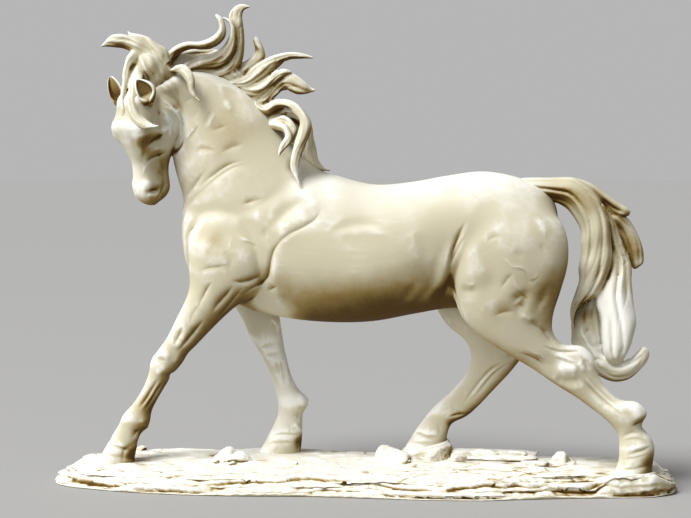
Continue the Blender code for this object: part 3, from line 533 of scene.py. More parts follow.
def sight_lines(tree, line, gap=1.5):
    """The line (x, z) in mm, drawn where the camera sees it, dropped onto the skin."""
    line = np.asarray(line, float)
    length = np.linalg.norm(np.diff(line, axis=0), axis=1).sum()
    found = []
    for x, z in smooth_rows(line, max(3, int(length / gap))):
        seen = Vector((x, 0, z)) * MM
        hit = tree.ray_cast(EYE, (seen - EYE).normalized())[0]
        found.append(hit if hit is not None else tree.find_nearest(seen)[0])
    return np.array(found)


def across_middle(tree, line, middle_y):
    """The line on the other side of the plane y = middle_y, dropped onto the skin there."""
    return dropped(tree, line * (1, -1, 1) + (0, 2 * middle_y, 0))


# %% Press a line in
def from_line(points, line):
    """Distance of each point from the polyline, and how far along it the nearest place is, 0-1."""
    steps = np.linalg.norm(np.diff(line, axis=0), axis=1)
    start = np.concatenate([[0], np.cumsum(steps)])
    best, share = np.full(len(points), np.inf), np.zeros(len(points))
    for k, (a, b) in enumerate(zip(line[:-1], line[1:])):
        way = b - a
        along = np.clip(((points - a) @ way) / max(way @ way, 1e-14), 0, 1)
        away = np.linalg.norm(points - (a + along[:, None] * way), axis=1)
        nearer = away < best
        best[nearer] = away[nearer]
        share[nearer] = (start[k] + along[nearer] * steps[k]) / max(start[-1], 1e-9)
    return best, share


def press(points, normals, line, half_width, depth):
    """Moves points along their normals by -depth * bell * ends, in place.

    At distance d from the line the bell is exp(-(d/w)^p). A narrow stroke has p = 1.2, which
    makes a sharp fold with soft shoulders, and a broad one p = 2, a round swelling or dent. A
    line longer than about five half widths fades in and out over 0.4 of its length and gets
    narrower there; a shorter one needs no fading.
    """
    w, reach = half_width * MM, 3.2 * half_width * MM
    low, high = line.min(0) - reach, line.max(0) + reach
    near = np.flatnonzero(((points > low) & (points < high)).all(1))
    if len(near) == 0:
        return
    away, share = from_line(points[near], line)
    long = np.clip(np.linalg.norm(np.diff(line, axis=0), axis=1).sum() / w / 2 - 1.3, 0, 1)
    ends = step_up(np.minimum(share, 1 - share), -0.03, 0.42)
    ends = 1 - long * (1 - ends)
    power = 1.2 + 0.8 * np.clip(half_width - 2.2, 0, 1)
    bell = np.exp(-((away / (w * (0.5 + 0.5 * ends))) ** power))
    points[near] -= normals[near] * (depth * MM * bell * ends)[:, None]


ruler = np.array([(0.0, 0, 0), (0.01, 0, 0)])
print("1 mm beside a 10 mm ruler:", from_line(np.array([(0.005, 0.001, 0)]), ruler))

# %% [markdown]
# ## Strokes on the trunk and neck
#
# Every row is one stroke: its half width, its depth, and the line. The side that the camera
# doesn't see gets the same strokes, mirrored, because a horse's two sides match.

# %% Strokes of the trunk and neck
TRUNK_STROKES = [
    (1.6, 1.4, [(-111, 198.5), (-102, 205.5), (-91.5, 212.5), (-80, 216)]),
    (1.4, 1.1, [(-108.5, 196), (-99, 204), (-88.5, 210.5), (-78, 213.5)]),
    (1.8, 1.4, [(-121, 190.5), (-113.5, 200), (-106, 209.5)]),
    (1.5, 0.9, [(-113.5, 221.5), (-110, 223.5), (-105, 223), (-99, 222)]),
    (1.5, 1.1, [(-118.5, 230.5), (-114, 235), (-110.5, 239.5)]),
    (2.2, -0.9, [(-106, 235), (-103, 242), (-99.5, 249)]),
    (2, 0.9, [(-108.5, 237), (-106, 242), (-102.5, 249)]),
    (3, 1.2, [(-96.5, 265.5), (-91.5, 261.5), (-86, 253), (-82.5, 245)]),
    (2.4, -0.9, [(-94.5, 257), (-91, 252), (-88.5, 247)]),
    (1.6, 0.8, [(-103, 235), (-96.5, 237.5), (-91.5, 238.5)]),
    (1.4, 0.9, [(-80.5, 187), (-75, 189)]),
    (2.2, 1.1, [(-96.5, 220.5), (-88.5, 224.5), (-80, 226.5)]),
    (2, 0.9, [(-118, 273.5), (-112, 265.5), (-109, 257)]),
    (1.8, 1.4, [(-119.5, 157), (-120, 162), (-118.5, 168), (-115, 172.5), (-111, 177)]),
    (2, 1, [(-121, 181.5), (-118, 186), (-113, 192), (-106.5, 197)]),
    (1.6, 0.9, [(-82.5, 185.5), (-75.5, 188), (-67, 190.5)]),
    (4.5, 1.8, [(-60, 173.5), (-53.5, 180.5), (-45, 186.5)]),
    (1.6, 1.5, [(-28.5, 184), (-32, 177.5), (-40.5, 171.5), (-49.5, 167), (-56.5, 161.5)]),
    (1.6, 1.8, [(-46, 169), (-56, 162), (-60.5, 156), (-62.5, 150), (-63.5, 144), (-65, 137.5),
        (-69.5, 133), (-77, 129), (-84, 123.5)]),
    (13, 2.2, [(-106, 168), (-96, 166)]),
    (6, -1.6, [(-46, 206), (-41, 196), (-36, 188)]),
    (1.3, -0.8, [(-87.5, 168), (-90.5, 161), (-91.5, 153.5)]),
    (1.3, -0.9, [(-87.5, 167.5), (-82, 163.5), (-75.5, 161), (-69, 158)]),
    (1.4, 0.8, [(-82, 161.5), (-75.5, 159.5), (-70.5, 157)]),
    (1.6, 0.8, [(-67.5, 171.5), (-66.5, 166.5), (-66, 162)]),
    (2.4, 1, [(-92.5, 152.5), (-89.5, 149), (-90.5, 144.5)]),
    (1.5, 1.2, [(-111.5, 141.5), (-105.5, 143), (-97.5, 144), (-90.5, 145.5)]),
    (1.6, 1.8, [(-90, 135), (-83.5, 134), (-76, 135.5), (-69, 139)]),
    (8, -1.6, [(-105.5, 156), (-99, 150.5)]),
    (9, -1.5, [(-79.5, 148.5), (-75.5, 143)]),
    (6, -1.2, [(-53.5, 169), (-42, 177)]),
    (5, -1, [(-82, 178), (-73, 179)]),
    (3.5, 0.8, [(-65, 167.5), (-61, 164)]),
    (1.4, 1.3, [(-66, 128), (-62, 129.5), (-58.5, 131.5)]),
    (3, 0.9, [(-60, 126.5), (-52.5, 121.5), (-46.5, 112.5)]),
    (4, 1.2, [(-24, 168.5), (-13.5, 171.5), (1.5, 173), (14.5, 172)]),
    (3, -0.8, [(-24, 165), (-11, 168), (4.5, 169), (23.5, 165)]),
    (3.5, 1.3, [(34.5, 134), (30, 127), (26.5, 121.5)]),
    (3, 1, [(42, 129.5), (38, 124.5), (35, 121)]),
    (3.5, -1.8, [(59, 166), (55, 150.5), (51, 135.5), (42, 122.5)]),
    (4, 1, [(33.5, 168.5), (40, 159.5), (42, 147)]),
    (1.6, 1.6, [(67.5, 176), (64.5, 169), (60.5, 159.5), (57.5, 149.5), (56.5, 141.5)]),
    (1.8, 1.6, [(56.5, 147), (58, 138.5), (60, 129.5), (63, 119.5), (68, 109.5)]),
    (2.2, 1.7, [(57.5, 142), (55, 132), (49, 122)]),
    (1.8, 1, [(81.5, 162.5), (85.5, 165), (90, 166.5)]),
    (1.1, -0.8, [(90, 152.5), (95, 150), (98.5, 146.5), (105.5, 145), (108.5, 142), (112, 138),
        (116.5, 142.5)]),
    (1.2, 0.7, [(100, 145), (106, 143), (110.5, 136), (117, 140.5)]),
    (1.6, 1, [(99, 142), (94.5, 136.5), (90.5, 130.5)]),
    (1.1, -0.8, [(99.5, 142), (101, 134), (105.5, 129), (110.5, 124.5)]),
    (3.2, 1.6, [(102.5, 125), (106, 126.5), (105, 121)]),
    (1.8, 1, [(101, 115.5), (94.5, 116), (86, 113)]),
    (3, -0.8, [(111.5, 180), (117, 174), (119.5, 164)]),
    (2, 0.9, [(118, 159), (119, 157.5)]),
    (2, 0.8, [(102, 154.5), (103.5, 153.5)]),
    (3, 1.2, [(121, 132.5), (118, 124.5), (115.5, 119)]),
    (1.5, -0.7, [(116, 121), (119.5, 113.5), (122, 107)]),
    (3, 1.3, [(68, 129.5), (71.5, 129.5)]),
    (1.8, -0.5, [(70, 132), (72.5, 134)]),
    (9, -1.6, [(70, 153), (73.5, 144)]),
    (10, -1.5, [(90, 170.5), (100.5, 162)]),
    (8, -1.4, [(122.5, 146.5), (120.5, 138)]),
    (6, 1, [(81, 155), (85.5, 144), (85.5, 135.5)]),
    (7, -1.2, [(92.5, 124.5), (85.5, 121)]),
    (1.5, 1, [(-122, 245.5), (-121, 239), (-120.5, 234), (-121, 230)]),
    (1.6, -0.9, [(-120, 230), (-116.5, 233.5), (-112.5, 238.5)]),
    (1.2, 0.7, [(-119, 229), (-115, 232), (-111, 237)]),
    (1.4, 0.6, [(-120.5, 253.5), (-118, 256), (-114, 257.5)]),
    (1.4, 0.5, [(-118, 242.5), (-114, 245.5), (-110, 251.5)]),
    (0.9, 1.0, [(69.5, 167.5), (64.5, 161.5), (61, 154.5), (58, 147), (57.5, 141.5)]),
    (0.9, 0.7, [(68, 176.5), (65, 171.5), (62, 165), (60, 158)]),
    (6.5, -0.8, [(70, 174), (80, 179.5), (92, 184), (105, 187), (116, 188.5), (126, 189)]),
    (5.5, -1.8, [(-141, 259), (-134, 264), (-127, 269), (-121, 273)]),
]

print(len(TRUNK_STROKES), "strokes on the trunk and neck")

# %% [markdown]
# ## Strokes on the legs
#
# Below the knee and hock a horse's leg is tendon and bone under thin skin: two cords run down
# the back of each cannon, and the pastern and the hoof's coronet each make a step.

# %% Strokes of the legs
NEAR_FORE_STROKES = [
    (1.8, 1.5, [(-102, 134.5), (-106, 129.5), (-109.5, 123), (-112.5, 116.5)]),
    (2, 1.6, [(-88, 132), (-93.5, 124.5), (-99, 118.5), (-103, 112.5)]),
    (1.6, 1.2, [(-81.5, 131), (-88, 122.5), (-94.5, 114.5), (-101, 108)]),
    (1.8, 1.6, [(-123, 103.5), (-126, 97), (-129.5, 90.5)]),
    (1.8, 1.8, [(-108, 109), (-114.5, 100.5), (-121, 92.5), (-127, 86)]),
    (1.4, 0.8, [(-110, 120), (-115.5, 112.5), (-118.5, 104.5)]),
    (3.4, -1.4, [(-136.5, 85.5), (-134.5, 84.5)]),
    (1.6, 1.2, [(-141, 82.5), (-137.5, 80.5), (-133.5, 80.5)]),
    (2.6, -1, [(-125.5, 84), (-127.5, 80.5)]),
    (3, -1, [(-136.5, 74), (-138.5, 72.5)]),
    (2, 1.4, [(-128, 73), (-132, 69), (-136, 68)]),
    (1.4, 1.4, [(-139.5, 68.5), (-144, 61), (-149, 53), (-154.5, 46)]),
    (1.4, 1.4, [(-135.5, 67), (-140.5, 60), (-145, 52.5), (-150, 45.5)]),
    (1.4, -0.8, [(-137.5, 67.5), (-142.5, 60), (-147, 52.5), (-152.5, 45.5)]),
    (2.4, -1.2, [(-151, 38), (-149.5, 34.5)]),
    (1.8, 1.2, [(-153.5, 33), (-156, 30), (-158.5, 26.5)]),
    (1.5, 1.2, [(-173.5, 22.5), (-168.5, 20.5), (-163, 18.5), (-158, 16.5)]),
    (1.2, 0.7, [(-174.5, 26.5), (-168, 22.5), (-161, 21)]),
    (2.2, -0.8, [(-174.5, 24), (-168, 22), (-160, 20)]),
    (1, 0.6, [(-180, 16.5), (-172.5, 14.5), (-164.5, 13), (-156, 12)]),
    (1.6, 1.2, [(-155, 27), (-154, 20), (-153.5, 13)]),
]
FAR_FORE_STROKES = [
    (1.8, 1.2, [(-69.5, 90), (-64.5, 91.5), (-59.5, 93)]),
    (2, 1.2, [(-66.5, 85), (-61, 85.5), (-56, 87)]),
    (1.6, -0.8, [(-57, 98), (-60, 106.5), (-63.5, 110.5)]),
    (1.6, 0.9, [(-62, 107.5), (-59.5, 102), (-59, 95.5)]),
    (1.3, -0.8, [(-54, 83), (-52, 74), (-50.5, 64.5)]),
    (1.4, 1, [(-57, 83), (-54.5, 73), (-53, 63.5)]),
    (1.6, 0.8, [(-60, 81.5), (-58, 76.5), (-57, 71)]),
    (1.6, 1.2, [(-45, 47.5), (-44, 44), (-46, 41)]),
    (2.6, -1.2, [(-42, 56), (-41, 53.5)]),
    (2.2, -1, [(-46, 37.5), (-44, 34.5)]),
    (1.4, 1.2, [(-61.5, 30.5), (-56, 31.5), (-49.5, 31.5), (-44, 31.5)]),
    (1.3, 0.8, [(-52.5, 39.5), (-49.5, 35.5), (-51.5, 32)]),
    (1, 0.6, [(-65.5, 25), (-56, 26), (-45, 25.5)]),
    (1.6, 1.1, [(-45.5, 30), (-44.5, 24), (-44.5, 18)]),
]
NEAR_HIND_STROKES = [
    (3, -1, [(102, 117), (106, 113), (115, 110.5)]),
    (2, 1.2, [(110, 111.5), (115.5, 106), (123.5, 102)]),
    (1.8, 1.5, [(102, 89.5), (113, 85), (123.5, 79)]),
    (1.5, -0.8, [(106, 92.5), (117, 87), (126, 82)]),
    (1.6, 1.6, [(118, 94), (127.5, 90.5), (137, 90), (143.5, 91)]),
    (2, 1.5, [(116.5, 106), (122, 99.5), (127.5, 93)]),
    (1.4, -0.9, [(127.5, 88.5), (134, 85.5), (142.5, 83)]),
    (1.3, 0.9, [(126, 86.5), (133, 83.5), (141, 80.5)]),
    (3, -1.4, [(133, 79), (138.5, 78.5)]),
    (2.4, -1.2, [(143.5, 81.5), (145, 79.5)]),
    (2.2, 1.3, [(145, 86), (147.5, 82), (148.5, 77)]),
    (3, 1.6, [(131, 71), (136.5, 70), (141, 70.5)]),
    (1.8, 1.6, [(141, 76.5), (146.5, 70), (154.5, 62), (164, 54), (172, 48.5)]),
    (1.4, 1, [(147.5, 76.5), (153, 68.5), (161, 60.5), (169.5, 54)]),
    (1.6, -0.8, [(145, 75.5), (152, 67.5), (160, 59.5), (169.5, 51.5)]),
    (4, -1.4, [(180, 51.5), (181.5, 48.5)]),
    (1.4, 1.2, [(177.5, 40.5), (181.5, 42.5), (185, 44.5)]),
    (1.4, 1, [(171, 33.5), (177.5, 36.5), (183, 37)]),
    (1.6, 0.8, [(172.5, 31), (180.5, 32.5), (187, 31)]),
    (1.3, 1.2, [(175, 22), (180.5, 23.5), (185.5, 25), (190.5, 28)]),
    (2, -0.8, [(173.5, 25.5), (180.5, 26.5), (188.5, 29)]),
    (1, 0.6, [(171, 18.5), (180.5, 20), (190.5, 23)]),
    (1.4, 1.0, [(170, 12), (180, 12.5), (190, 15)]),
]
FAR_HIND_STROKES = [
    (2.4, 1, [(56, 111), (62.5, 105.5), (68, 100)]),
    (2, 0.8, [(54.5, 116.5), (60, 111)]),
    (3, 1.4, [(99.5, 86.5), (94, 85), (90, 82.5)]),
    (1.6, 1.5, [(95.5, 84), (84.5, 77), (78, 70), (71, 60.5), (65.5, 52)]),
    (1.4, -0.8, [(91.5, 80), (80.5, 71.5), (74, 63.5), (68.5, 55)]),
    (1.4, 1.2, [(98, 83), (87, 74.5), (79, 65), (72.5, 56.5)]),
    (1.8, 1.4, [(56, 45), (61.5, 46), (68.5, 47.5)]),
    (1.6, 1.2, [(34.5, 34), (40, 32), (46.5, 31), (52, 32.5)]),
    (1.2, 0.8, [(49.5, 41), (51, 37), (49.5, 32.5)]),
    (2, -0.8, [(34.5, 36), (41.5, 33.5), (49.5, 33.5)]),
    (1, 0.6, [(31.5, 28), (40, 27), (48, 28.5)]),
]

leg_strokes = (NEAR_FORE_STROKES, FAR_FORE_STROKES, NEAR_HIND_STROKES, FAR_HIND_STROKES)
print(sum(map(len, leg_strokes)), "strokes on the legs")

# %% [markdown]
# ## Masses and strokes of the head
#
# The head's strokes are drawn the same way and mirrored on the head's own middle plane: the
# hollow above the eye, the orbit, the ridge along the cheek, the veins of the nose, the
# nostril and the mouth.

# %% Strokes of the head
HEAD_STROKES = [
    (2.6, 2.1, [(-131, 235), (-136.5, 231.5), (-142, 228), (-147.5, 224)]),
    (1.1, 1.8, [(-120.5, 231), (-122.5, 227), (-126, 222.5), (-130.5, 217.5)]),
    (4, -1.2, [(-148, 233), (-141.5, 234), (-135.5, 236)]),
    (2.2, -1, [(-132.5, 225), (-138.5, 223.5), (-144.5, 221)]),
    (1.4, 1.2, [(-131.5, 222), (-135, 220), (-140.5, 218), (-145.5, 215), (-148.5, 210)]),
    (2.2, 0.9, [(-148.5, 220), (-150, 214.5)]),
    (0.9, -0.6, [(-142, 217), (-146, 214), (-148.5, 209), (-149.5, 204.5)]),
    (0.9, -0.6, [(-139, 216.5), (-138.5, 211), (-136, 206.5), (-134.5, 204)]),
    (1.4, 0.7, [(-139, 210.5), (-138, 206), (-138, 200)]),
    (2.2, 3.2, [(-145.5, 194.5), (-142, 195), (-139, 195.5)]),
    (2.2, -0.9, [(-143, 193), (-140.5, 193)]),
    (1, 0.9, [(-134, 202.5), (-135.5, 197.5), (-137.5, 192.5), (-141, 188.5)]),
    (1.8, 0.8, [(-137.5, 247), (-135.5, 246)]),
    (1.5, 1.2, [(-148.5, 253.5), (-144.5, 252), (-141, 253)]),
    (1.2, 0.6, [(-147.5, 250.5), (-143.5, 250.5), (-141, 251.5)]),
    (1.3, 0.9, [(-132, 270), (-127.5, 265.5), (-124.5, 260), (-123, 255.5)]),
    (1.2, 0.8, [(-139, 265.5), (-134, 261), (-131, 257)]),
    (1, 0.6, [(-134.5, 267.5), (-130.5, 263), (-127.5, 257.5)]),
    (1.4, 1.1, [(-129, 252.5), (-127, 251), (-124.5, 248.5)]),
    (1.6, -0.9, [(-139.5, 259), (-134, 255), (-129.5, 251), (-125, 245.5), (-123, 240.5)]),
    (1.6, -0.8, [(-123, 240.5), (-123, 234), (-123.5, 230)]),
    (2, -0.8, [(-138, 251), (-133, 245.5), (-131.5, 239.5)]),
    (1.2, 0.7, [(-131.5, 237), (-133, 231), (-132.5, 226)]),
    (1.4, 0.5, [(-127, 243), (-128.5, 237), (-128.5, 231)]),
    (1.2, 0.5, [(-125, 236.5), (-126.5, 230), (-129, 224.5)]),
    (2.6, 0.9, [(-149.5, 222), (-148.5, 216.5), (-148, 211)]),
    (1.6, -0.9, [(-150.5, 236), (-150, 227.5), (-149.5, 219.5), (-149, 210)]),
    (1.6, -1.1, [(-136, 252), (-128.5, 249), (-124, 243.5), (-122.5, 237), (-123.5, 230.5)]),
]

# %% Press the strokes in
def mirrored_on_head(tree, line):
    """The line on the head's other side: mirrored in y on the head's sheet."""
    flat = (line / MM - POLL) @ HEAD_SPIN * (1, -1, 1)
    return dropped(tree, on_head(flat) * MM)


SETS = [  # strokes, times their width, times their depth, y in mm of the limb's middle plane
    (TRUNK_STROKES, 1.15, 0.75, 0),
    (NEAR_FORE_STROKES, 1.05, 0.85, -16.5),
    (FAR_FORE_STROKES, 1.05, 0.9, 16),
    (NEAR_HIND_STROKES, 1.05, 0.85, -18),
    (FAR_HIND_STROKES, 1.05, 0.9, 16),
    (HEAD_STROKES, 1.05, 0.95, None),  # the head is turned, so it has a plane of its own
]
tree = tree_of(body)
strokes = []
for table, wide, deep, middle in SETS:
    for half_width, depth, drawn in table:
        line = sight_lines(tree, drawn)
        if middle is None:
            far = mirrored_on_head(tree, line)
        else:
            far = across_middle(tree, line, middle * MM)
        gentle = min(1, 0.3 + abs(depth) / 2.4)  # faint strokes get fainter still
        size = (wide * half_width, deep * depth * gentle)
        strokes += [(line, *size), (far, *size)]
for x, spread, z, half_width, swelling in FACE_SWELLINGS:
    for way in (-1, 1):
        bump = on_head(np.array([(x, way * spread, z - 1.5), (x, way * spread, z + 1.5)])) * MM
        strokes.append((dropped(tree, bump), half_width, -swelling))
points, normals = points_of(body), points_of(body, "normal")
for line, half_width, depth in strokes:
    press(points, normals, line, half_width, depth)
move_points(body, points)
print(len(strokes), "strokes on the body")

# %% [markdown]
# ## Fewer triangles
#
# The fine grid has far more faces than the finished skin needs. A Decimate modifier merges the
# ones that lie flat and leaves the folds, which keeps each piece under 200,000 triangles.

# %% Thin the body's skin
MOST_TRIANGLES = 190000


def fewer_triangles(piece):
    """Thins a skin of four-sided faces to MOST_TRIANGLES, most where it is flattest."""
    thin = piece.modifiers.new("fewer triangles", "DECIMATE")
    thin.ratio = min(1.0, MOST_TRIANGLES / (2 * len(piece.data.polygons)))
    thin.use_collapse_triangulate = True
    settle(piece)
    print(piece.name, "has", len(piece.data.polygons), "triangles")


fewer_triangles(body)

# %% [markdown]
# ## Hair
#
# The mane and tail are ribbons of hair that swing in S curves and end in points. A ribbon is a
# flat tube that follows the two edges of a lock. Its strands are round ridges side by side with
# deep grooves between them, and they drift sideways as they go, so that the lock seems to
# twist. Particle hair could give real hairs, but a cast has none: it has carved strands, so they
# are modelled as one surface.

# %% Tables of the mane's locks
LOCKS = {
    "forelock root": [
        (-118, 268, -134, 247, 4, 3), (-122, 272, -138, 250, -2, 5), (-127, 276, -141, 254, -8, 6),
        (-131, 281, -145, 262, -10, 7), (-136, 285, -149, 270, -12, 7),
        (-142, 288, -151, 278, -12, 5), (-147, 289, -151, 284, -12, 2),
    ],
    "forelock wave": [
        (-133.5, 285.5, -146, 269.5, -10, 6), (-137.5, 288.5, -148, 274.5, -10, 6),
        (-142.5, 291.5, -149.5, 280.5, -10, 5.5), (-147.5, 295, -152.5, 286.5, -11, 5),
        (-154, 298, -158.5, 289.5, -11, 4.5), (-162, 299.5, -165, 290.5, -12, 4),
        (-168, 298, -170.5, 291, -12, 3), (-172, 294, -172.5, 291, -12, 1.5),
        (-174, 292, -174, 291, -12, 0.5),
    ],
    "forelock crest": [
        (-128, 281.5, -138.5, 271.5, -8, 6), (-131, 289.5, -141, 278.5, -8, 5.5),
        (-137, 293.5, -145, 286.5, -8, 5), (-143, 297.5, -149.5, 292.5, -8, 4),
        (-149.5, 299.5, -153.5, 296.5, -8, 3), (-155, 300.5, -156, 298.5, -8, 1.5),
        (-157.5, 302, -157, 300.5, -8, 0.5),
    ],
    "brow filling": [
        (-147.5, 284.5, -134, 277.5, -9, 4.5), (-150, 278.5, -137.5, 271, -9, 4.5),
        (-152, 272, -141, 266.5, -11, 4), (-152.5, 265, -144, 261, -17, 3.5),
        (-151, 258, -146, 256, -15, 0.5),
    ],
    "forelock drop": [
        (-149, 291, -144, 284, -11, 3), (-153.5, 288, -148, 279.5, -14, 4),
        (-156, 284, -150, 279, -16, 3.5), (-157, 279, -152, 275.5, -18, 3.5),
        (-158, 273, -152.5, 270, -20, 3), (-157.5, 267.5, -154, 265, -22, 3),
        (-158, 263, -154, 260, -24, 3), (-158.5, 257, -154.5, 255, -25, 3),
        (-158.5, 252, -154, 250, -26, 3), (-157.5, 247, -153, 246, -27, 2),
        (-154.5, 243, -153, 243, -28, 0.5),
    ],
    "brow lock": [
        (-151.5, 282, -146, 280, -12, 3), (-153, 274, -145, 274, -17, 3.5),
        (-153.5, 266.5, -144, 269, -22, 4), (-153, 261, -145.5, 261, -25, 4),
        (-153.5, 255, -146, 254, -28, 4), (-152.5, 249, -144.5, 249.5, -30, 4),
        (-150, 243, -142, 245.5, -32, 3.5), (-145.5, 238.5, -138.5, 242.5, -34, 3),
        (-139.5, 236.5, -135, 240.5, -36, 2), (-134.5, 237.5, -132.5, 239.5, -37, 1),
        (-130.5, 238.5, -130.5, 239.5, -38, 0.5),
    ],
    "hook": [
        (-128, 276, -126.5, 274, -8, 3), (-124, 278.5, -123, 273.5, -11, 3.5),
        (-117.5, 279, -119.5, 272, -15, 3.5), (-112.5, 275, -116.5, 268.5, -18, 3),
        (-110, 269.5, -114.5, 264, -19, 3), (-109.5, 263, -113, 260, -20, 2),
        (-108, 258, -110, 256.5, -20.5, 1.5), (-106, 255, -106.5, 254.5, -21, 0.5),
    ],
    "crest filling": [
        (-140, 272, -128, 256, -1, 5), (-133, 284, -119, 262, 2, 6), (-124, 288, -112, 264, 4, 6),
        (-110, 291, -104, 266, 4, 5), (-97, 289, -93, 264, 4, 5), (-86, 280, -82, 258, 4, 5),
        (-74, 268, -72, 248, 4, 5), (-64, 256, -62, 236, 3, 5), (-52, 250, -54, 226, 2, 5),
        (-42, 244, -46, 214, 1, 4),
    ],
    "crest 1": [
        (-134, 274.5, -125, 274.5, -2, 6), (-132.5, 280.5, -127.5, 278.5, -2, 6),
        (-130.5, 287.5, -126, 283.5, -3, 5.5), (-125, 292, -121.5, 287, -4, 5),
        (-117.5, 294.5, -114.5, 289, -5, 5), (-109.5, 294.5, -107, 288.5, -6, 4.5),
        (-102.5, 296.5, -100, 289.5, -7, 4.5), (-97.5, 300, -94, 293.5, -7, 4),
        (-95.5, 303.5, -91, 299.5, -7, 3.5), (-96, 307, -91.5, 305.5, -7, 2.5),
        (-98, 310.5, -94, 310.5, -7, 1.5), (-98.5, 312, -97, 312.5, -7, 0.5),
    ],
    "crest 2": [
        (-125.5, 274.5, -117, 271.5, 2, 6), (-121, 281.5, -115, 274.5, 2, 6),
        (-113, 285.5, -107, 276, 1, 5.5), (-103.5, 287, -97.5, 277, 0, 5),
        (-95.5, 290.5, -90.5, 280.5, -2, 4.5), (-90.5, 296.5, -85.5, 288.5, -3, 4),
        (-88.5, 302.5, -84.5, 297.5, -4, 3.5), (-90, 307, -85.5, 304.5, -5, 2.5),
        (-93.5, 310, -88.5, 309, -5, 1.5), (-93.5, 310.5, -92.5, 310.5, -5, 0.5),
    ],
    "crest 3": [
        (-111.5, 273.5, -101, 269.5, 5, 6), (-102, 276.5, -93, 270.5, 4, 6),
        (-93, 280, -85.5, 275, 3, 5.5), (-87.5, 286.5, -81.5, 282.5, 2, 5),
        (-85, 293.5, -80, 291.5, 0, 4.5), (-85.5, 300.5, -80, 300.5, -1, 4),
        (-88, 306.5, -80.5, 306.5, -2, 3.5), (-90, 311, -81, 311, -2, 3),
        (-88, 315.6, -80, 314.8, -2, 2.5), (-83.5, 318.8, -78, 316, -2, 1.5),
        (-78.5, 318.8, -76.5, 316.5, -2, 1), (-76, 317.6, -75.5, 316.8, -2, 0.5),
    ],
    "crest 4": [
        (-100, 271.5, -88.5, 267.5, 7, 6), (-91.5, 274.5, -82.5, 269.5, 7, 5.5),
        (-83.5, 280, -76, 274.5, 6, 5), (-77, 284, -70, 279.5, 5, 4),
        (-73.5, 288, -66.5, 284.5, 4, 3), (-74, 293, -67.5, 290.5, 3, 2.5),
        (-74.5, 296, -70, 295.5, 3, 1.5), (-73.5, 298, -72, 298, 3, 0.5),
    ],
    "back 1": [
        (-91, 269.5, -85, 262.5, 4, 6), (-82.5, 271.5, -77.5, 262.5, 3, 6),
        (-74.5, 277.5, -69.5, 267.5, 2, 5.5), (-66, 283, -62, 273.5, 0, 5),
        (-58, 286, -55, 278.5, -1, 4.5), (-49, 287.5, -47.5, 282, -2, 3.5),
        (-40.5, 286.5, -40, 283, -2, 2.5), (-35.5, 285, -35.5, 283, -2, 1),
        (-33.5, 284, -34, 283, -2, 0.5),
    ],
    "back 2": [
        (-84, 266.5, -78, 256, 3, 5.5), (-76, 267, -72, 257, 2, 5.5), (-69, 268.5, -65, 260, 0, 5),
        (-62.5, 272.5, -59.5, 265, -2, 4.5), (-57, 276, -54.5, 269.5, -4, 3.5),
        (-52, 276.5, -51, 272, -5, 2.5), (-48, 275, -48, 273, -5, 1),
    ],
    "back 3": [
        (-77, 259, -71, 251, 4, 5.5), (-69, 262, -65, 253, 3, 5.5), (-62, 267, -59, 258, 1, 5),
        (-55.5, 272, -54, 261.5, -1, 4.5), (-49, 274, -48.5, 261, -3, 4),
        (-43.5, 271.5, -44.5, 259.5, -4, 3.5), (-38.5, 267.5, -39.5, 259.5, -5, 2.5),
        (-34.5, 264, -35, 260.5, -5, 1), (-32, 263, -32, 261.5, -5, 0.5),
    ],
    "arch": [
        (-74, 256, -68, 245, 1, 6), (-67.5, 252.5, -63, 244.5, 0, 6),
        (-60.5, 256, -57, 249, -3, 5.5), (-52, 256.5, -51, 250, -7, 5.5),
        (-44, 254, -46, 247, -11, 5), (-37, 247.5, -41, 241.5, -14, 5),
        (-33, 240.5, -42, 235, -16, 4.5), (-34, 233, -44, 228.5, -17, 4),
        (-37, 225.5, -45.5, 222.5, -18, 3.5), (-39.5, 219, -46.5, 217, -19, 3),
        (-41, 212, -46.5, 211, -20, 2), (-41, 206, -44, 206, -21, 1.5),
        (-40, 201, -41, 200.5, -22, 0.5),
    ],
    "arch behind": [
        (-64, 250, -61, 240, 2, 4), (-57, 251.5, -54, 241, 2, 5), (-50, 251, -47, 241, 1, 5),
        (-39.5, 247, -41.5, 236, 0, 5), (-34.5, 238, -39.5, 229, -1, 4.5),
        (-33.5, 231, -40.5, 222, -2, 4), (-31.5, 224, -41.5, 217, -2, 3.5),
        (-30, 216.5, -37, 213, -2, 3), (-27, 212, -30.5, 209.5, -1, 2),
        (-22.5, 210, -23, 208.5, 0, 0.5),
    ],
    "inner": [
        (-65.5, 244, -64.5, 235, 2, 5), (-60.5, 247, -59.5, 236, 0, 5),
        (-53, 246.5, -53, 239, -4, 4.5), (-47, 242.5, -50.5, 236, -8, 4),
        (-43.5, 236, -48.5, 231, -11, 3), (-45.5, 228, -48.5, 227.5, -12, 1),
    ],
    "hook low": [
        (-64, 242, -63, 236, -1, 4), (-57.5, 241.5, -57, 235.5, -7, 4),
        (-51, 240, -52, 234, -12, 4), (-46.5, 234, -51, 231, -16, 3),
        (-46.5, 228, -53, 227.5, -18.5, 3), (-50.5, 223, -54.5, 222.5, -20, 2),
        (-53, 220, -54.5, 220, -20.5, 1), (-53, 217, -53, 217, -21, 0.5),
    ],
}
